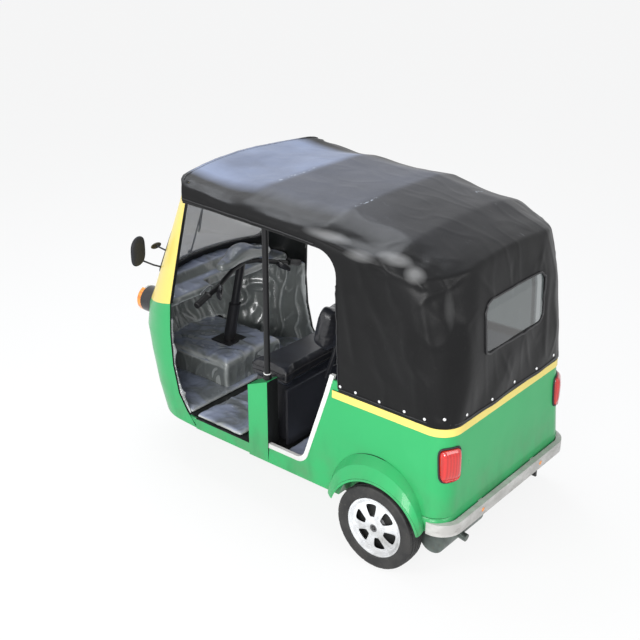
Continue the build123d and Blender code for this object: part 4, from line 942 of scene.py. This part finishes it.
def wheel(name, at, body):
    """A pressed white cover with six openings between paired spokes, on a rolled rim."""
    # rows: radius and how far out; the openings lie between the fifth and seventh
    radii = (0.02, 0.026, 0.034, 0.05, 0.058, 0.088, 0.121, 0.129, 0.1335, 0.1385, 0.1475)
    outs = (0.046, 0.0455, 0.0405, 0.0385, 0.0375, 0.0345, 0.0285, 0.0265, 0.0245, 0.0305, 0.0445)
    # columns of one sixth turn: share of it, how far proud at the spokes
    columns = ((0.0, 0.0), (0.13, 0.0), (0.27, 0.0005), (0.325, 0.0035), (0.4, 0.0045), (0.455, 0.001),
               (0.5, -0.0015), (0.545, 0.001), (0.6, 0.0045), (0.675, 0.0035), (0.73, 0.0005), (0.87, 0.0))
    pinches = {3: 0.6, 4: 0.78, 5: 1.0, 6: 1.04}
    cover_turn, cover_out = 0.26, 0.004
    rings = []
    for row, (radius, out) in enumerate(zip(radii, outs)):
        ring = []
        for sector in range(6):
            for share, proud in columns:
                turn = share if share <= 0.5 else share - 1
                if abs(turn) < 0.3:
                    turn *= pinches.get(row, 1.0)
                raised = proud if 3 <= row <= 7 else 0.0
                angle = 2 * pi * (sector + turn + (share > 0.5)) / 6 + cover_turn
                ring.append(turned_point(at, radius, angle, out + raised + cover_out))
        rings.append(ring)
    last = len(columns) - 2
    form = skin(rings, (), gap=lambda row, k: row in (4, 5) and not 1 < k % len(columns) < last)
    cover = put("wheel_cover_" + name, form, "wheel_white", body)
    subdivided(thickened(cover, 0.0035), 2)
    for part, look, steps, profile in wheel_parts:
        turned = lathe("wheel_%s_%s" % (part, name), at, body, profile, look, steps)
        if part == "rim":
            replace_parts(turned, "rim_" + name)


for place, (at, half) in wheel_places.items():
    tyre(place, at, half, place + "_wheel")
    wheel(place, at, place + "_wheel")


# ---------------------------------------------------------------- steering
def lofted(name, sections, look, body="chassis", levels=1):
    """A closed form through ovals across Y: y, x, z, half depth, half height, lean."""
    rings = []
    for y, x, z, depth, height, lean in sections:
        c, s, ring = cos(lean), sin(lean), []
        for t in turns(28):
            u, v = squarish(t, 0.75)
            u, v = u * depth, v * height
            ring.append((x + u * c - v * s, y, z + u * s + v * c))
        rings.append(ring)
    return subdivided(put(name, skin(rings), look, body), levels)


half_wing = [(0.0, 0.672, 1.113, 0.058, 0.048, 0.25), (0.035, 0.672, 1.112, 0.058, 0.047, 0.25),
             (0.07, 0.669, 1.105, 0.054, 0.042, 0.2), (0.105, 0.662, 1.092, 0.047, 0.034, 0.1),
             (0.14, 0.656, 1.086, 0.042, 0.031, 0.0), (0.175, 0.651, 1.086, 0.035, 0.029, -0.05),
             (0.2, 0.648, 1.086, 0.026, 0.022, -0.1), (0.208, 0.647, 1.085, 0.012, 0.01, -0.1)]
wings = [(-y, *rest) for y, *rest in reversed(half_wing[1:])] + half_wing
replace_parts(lofted("bar_cover", wings, "lining_black", "steering", levels=2), "handlebar_cover")
grip_start, grip_end = (0.608, 0.335, 0.9755), (0.602, 0.43, 0.943)
ridge_step, flange = 0.008, 0.008
lever = ((0.638, 0.25, 0.996), (0.652, 0.268, 0.997), (0.655, 0.3, 0.992), (0.648, 0.335, 0.982),
         (0.645, 0.358, 0.976))
switch_box = ((0.236, 0.012, 0.012), (0.244, 0.026, 0.024), (0.285, 0.026, 0.024), (0.293, 0.012, 0.012))
for tag, side in hands:
    start, end = (Vector((x, y * side, z)) for x, y, z in (grip_start, grip_end))
    way = (end - start).normalized()
    line = [start.lerp(end, k / 24) for k in range(25)]
    grip = tube("grip_" + tag, line, 0.0182, "rubber_grip", "steering", sides=20)
    for vert in grip.data.vertices:
        along = (vert.co - start).dot(way)
        axis_point = start + way * along
        ridge = 1.0 + 0.07 * cos(along * 2 * pi / ridge_step) + (0.28 if along < flange else 0.0)
        vert.co = axis_point + (vert.co - axis_point) * ridge
    line = spread([(x, y * side, z) for x, y, z in lever], 0.01)
    tube("lever_" + tag, line, 0.0062, "lever_metal", "steering", sides=8, flat=0.6)
    ovals = [(side * y, 0.617 - 0.02 * k, 1.004 - 0.018 * k, depth, height, 0.2)
             for k, (y, depth, height) in enumerate(switch_box)]
    lofted("switch_box_" + tag, ovals, "plastic_black", "steering")


# ---------------------------------------------------------------- windshield, lamps and mirrors
front_tree = tree_of("windshield_frame", "windshield_glass")


def from_ahead(y, z):
    """Where a ray from ahead meets the windshield or its frame, and the normal there."""
    return front_tree.ray_cast(Vector((1.6, y, z)), Vector((-1, 0, 0)))[:2]


screen = rounded(((0.357, 1.555), (-0.357, 1.555), (-0.373, 1.095), (0.373, 1.095)), 0.045, 6)
screen = [(0, y, z) for y, z in screen]
gasket = []
for spot in spread(screen + screen[:1], 0.025)[:-1]:
    hit, normal = from_ahead(spot.y, spot.z)
    gasket.append(hit + normal * 0.002 if normal.x > 0 else hit - normal * 0.002)
tube("screen_gasket", gasket, 0.0125, "rubber_grip", closed=True, flat=0.7)
for tag, side in hands:
    rim = [(1.0815, side * (0.365 + 0.069 * cos(t)), 0.845 + 0.069 * sin(t)) for t in turns(48)]
    tube("lamp_ring_" + tag, rim, 0.005, "stud_metal", closed=True, sides=8)

# the mirror's head: y, z, half depth, half height
mirror_head = ((0.5115, 1.236, 0.006, 0.04), (0.517, 1.234, 0.011, 0.06), (0.531, 1.229, 0.0145, 0.077),
               (0.556, 1.226, 0.0165, 0.085), (0.582, 1.22, 0.0155, 0.08), (0.6, 1.214, 0.012, 0.062),
               (0.6085, 1.212, 0.006, 0.04))
mirror_arms = (((0.851, 0.4435, 1.1125), (0.872, 0.485, 1.132), (0.902, 0.528, 1.16)),
               ((0.8215, 0.4245, 1.208), (0.86, 0.417, 1.208), (0.929, 0.405, 1.208)))
spot_width, spot_height, least = 0.038, 0.017, 0.0004
for tag, side in hands:
    head = lofted("mirror_head_" + tag, [(side * y, 0.906, z, depth, height, 0.0)
                                         for y, z, depth, height in mirror_head], "mirror_black", levels=2)
    if side > 0:
        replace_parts(head, "mirrors")
    for k, arm in enumerate(mirror_arms):
        line = spread([(x, side * y, z) for x, y, z in arm], 0.012)
        tube("mirror_arm_%s_%d" % (tag, k), line, 0.0048, "mirror_black")
    spots = [(side * (0.405 + spot_width * sin(t)), 0.932, 1.208, 0.0065 * cos(t) + least,
              spot_height * cos(t) + least, 0.0) for t in (radians(-88 + 176 * k / 12) for k in range(13))]
    lofted("spot_mirror_" + tag, spots, "spot_painted_reflection")


# ---------------------------------------------------------------- rear and trim
def domed(name, base, out, half_width, half_height, depth, look, power=0.4, on=None):
    """A moulded lens: a rounded outline, its foot set on a surface and its face domed outwards."""
    out = Vector(out).normalized()
    across = up.cross(out)
    # rows: share of the depth, share of the outline
    rows = ((0.0, 0.97), (0.06, 1.0), (0.42, 1.0), (0.62, 0.975), (0.78, 0.905), (0.9, 0.76), (0.96, 0.55),
            (0.99, 0.3), (1.0, 0.08))
    rings = []
    for deep, share in rows:
        ring = []
        for t in turns(40):
            u, v = squarish(t, power)
            u, v = u * half_width * share, v * half_height * share
            spot = Vector(base) + out * depth * deep + across * u + Vector((0, 0, v))
            hit = on.ray_cast(spot + out * 0.2, -out)[0] if on and deep < 0.5 else None
            if hit is not None:
                spot = hit + out * max(deep * 0.05 - 0.001, (spot - hit).dot(out))
            ring.append(spot)
        rings.append(ring)
    return subdivided(thickened(put(name, skin(rings, (-1,)), look), 0.002, -1.0))


tub_tree = tree_of("rear_tub")
# a tail lamp's place: the way it faces, how far out and across it stands, and its height
lamp_x, lamp_y = -0.894, 0.447
lamp_out, lamp_across, lamp_level = 1.196, -0.0535, 0.645
for tag, side in hands:
    out = Vector((lamp_x, lamp_y * side, 0))
    foot = Vector((lamp_x * lamp_out + lamp_y * lamp_across,
                   side * (lamp_y * lamp_out - lamp_x * lamp_across), lamp_level))
    lamp = domed("tail_lens_" + tag, foot, out, 0.0545, 0.082, 0.051, "lamp_red", on=tub_tree)
    if side > 0:
        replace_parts(lamp, "tail_lamps")
    seal = []
    for k in range(56):
        u, v = squarish(2 * pi * (k + 0.5) / 56, 0.4)
        spot = foot + out * 0.014 + up.cross(out) * u * 0.0575 + Vector((0, 0, v * 0.085))
        seat = tub_tree.ray_cast(spot + out * 0.2, -out)[0]
        seal.append(seat + out * 0.003 if seat else spot)
    tube("tail_seal_" + tag, seal, 0.0055, "rubber_grip", closed=True, sides=8)
    domed("bumper_reflector_" + tag, (-1.176, 0.28 * side, 0.315), (-1, 0, 0), 0.013, 0.011, 0.007,
          "lamp_amber", 0.8)
    post = middle_of([v.co for v in nodes["hood_frame"].data.vertices if v.co.z < 0.76 and v.co.y * side > 0])
    tube("post_collar_" + tag, [(post.x, post.y, 0.7553 + h) for h in (0.0, 0.004, 0.03, 0.033)], 0.0205,
         "trim_white", sides=24)


def tub_route(z, inset):
    """The tub's outline in plan at a height, from its left side round the back."""
    back, half, corner = -1.146 + inset, 0.592 - inset, 0.112 - inset
    route = [(-1.02, half, z)]
    route += [(back + corner - corner * sin(t), half - corner + corner * cos(t), z)
              for t in (pi / 2 * k / 10 for k in range(11))]
    return route + [(x, -y, z) for x, y, z in reversed(route)]


def strip(name, lower, upper, thickness, look):
    """A band of sheet between two edges of as many points."""
    bm = bmesh.new()
    first, second = ([bm.verts.new(p) for p in edge] for edge in (lower, upper))
    for k in range(len(first) - 1):
        bm.faces.new((first[k], first[k + 1], second[k + 1], second[k]))
    thickened(put(name, bm, look), thickness)


# the canvas's front edge, turned down onto the header
nose_top, nose_foot = [], []
for spot in on_canvas(spread(nose_line(0.006)), 0.0):
    below = from_ahead(spot.y, spot.z - 0.026)[0]
    if below is not None:
        nose_top.append(spot)
        nose_foot.append(below + Vector((0.004, 0, 0)))
strip("hood_nose_hem", nose_foot, nose_top, 0.003, "canvas_black")
tub_lip, tub_turn = tub_route(0.296, 0.012), tub_route(0.372, 0.006)
strip("rear_valance", tub_lip, tub_turn, 0.004, "body_green")
tube("tub_rear_lip", tub_lip, 0.0045, "body_green", sides=8)
for tag, side in hands:
    strip("sill_gusset_" + tag, [(0.476, side * 0.583, 0.294), (0.537, side * 0.581, 0.35)],
          [(0.476, side * 0.583, 0.352), (0.5385, side * 0.581, 0.3525)], 0.003, "body_green")
    # the fender's rolled edge: its outer ring, as in the CAD
    arc = [(-0.787 + 0.2755 * cos(t), side * 0.6465, 0.205 + 0.2755 * sin(t))
           for t in (radians(-8 + 180 * k / 60) for k in range(61))]
    tube("fender_edge_" + tag, [p for p in arc if p[2] >= 0.296], 0.0055, "body_green")

# ---------------------------------------------------------------- camera, floor and light
heading, elevation, roll = map(radians, (50.4068, 24.1155, 0.211))
ahead = Vector((cos(elevation) * cos(heading), -cos(elevation) * sin(heading), -sin(elevation)))
level_right = ahead.cross(up).normalized()
level_up = level_right.cross(ahead)
cam_right = level_right * cos(roll) + level_up * sin(roll)
cam_up = level_up * cos(roll) - level_right * sin(roll)
camera = bpy.data.objects.new("camera", bpy.data.cameras.new("camera"))
camera.data.lens, camera.data.sensor_width = 61.53, 36
turn = Matrix((cam_right, cam_up, -ahead)).transposed().to_4x4()
camera.matrix_world = Matrix.Translation((-3.41475, 4.22848, 3.31766)) @ turn
scene.collection.objects.link(camera)
bpy.context.scene.camera = camera
floor_mesh = bpy.data.meshes.new("floor")
floor_mesh.from_pydata([(-60, -60, 0), (60, -60, 0), (60, 60, 0), (-60, 60, 0)], [], [(0, 1, 2, 3)])
floor = bpy.data.objects.new("floor", floor_mesh)
scene.collection.objects.link(floor)
floor_look = Look("floor_pale", (0.86, 0.86, 0.86), 0.9)
floor_look.tint(floor_look.noise(0.6, 2), (0.88, 0.88, 0.88)).done()
floor_look.fill(floor_look.tree.nodes["Material Output"],
                {"Surface": floor_look.seen_white(floor_look.shader.outputs[0], "Emission", 0.86)})
floor_mesh.materials.append(floor_look.material)

world = bpy.data.worlds.new("studio")
scene.world = world
world.use_nodes = True
studio = Tree(world.node_tree)
sky = studio.tree.nodes["Background"]
studio.fill(sky, {"Color": (0.93, 0.96, 1.0, 1), "Strength": 0.42})
studio.fill(studio.tree.nodes["World Output"],
            {"Surface": studio.seen_white(sky.outputs[0], "Background", 1.0)})


def area_light(name, place, aim, size, power, color=(1, 1, 1)):
    lamp = bpy.data.objects.new(name, bpy.data.lights.new(name, "AREA"))
    lamp.data.shape, lamp.data.size, lamp.data.size_y = "RECTANGLE", size[0], size[1]
    lamp.data.energy, lamp.data.color = power, color
    lamp.location = place
    lamp.rotation_euler = (Vector(aim) - Vector(place)).to_track_quat("-Z", "Y").to_euler()
    scene.collection.objects.link(lamp)


area_light("key", (0.6, 4.8, 3.6), (0, 0, 0.8), (2.6, 2.0), 115)
area_light("cabin", (-2.4, 4.2, 1.9), (0.75, 0, 0.7), (1.8, 1.4), 115)
area_light("fill", (-4.8, 0.4, 3.0), (0, 0, 0.8), (2.6, 2.2), 62)
area_light("top", (1.6, -0.6, 5.0), (0.2, 0, 1.2), (3.0, 2.6), 170, (0.9, 0.94, 1.0))

bpy.context.scene.view_settings.view_transform = "Standard"
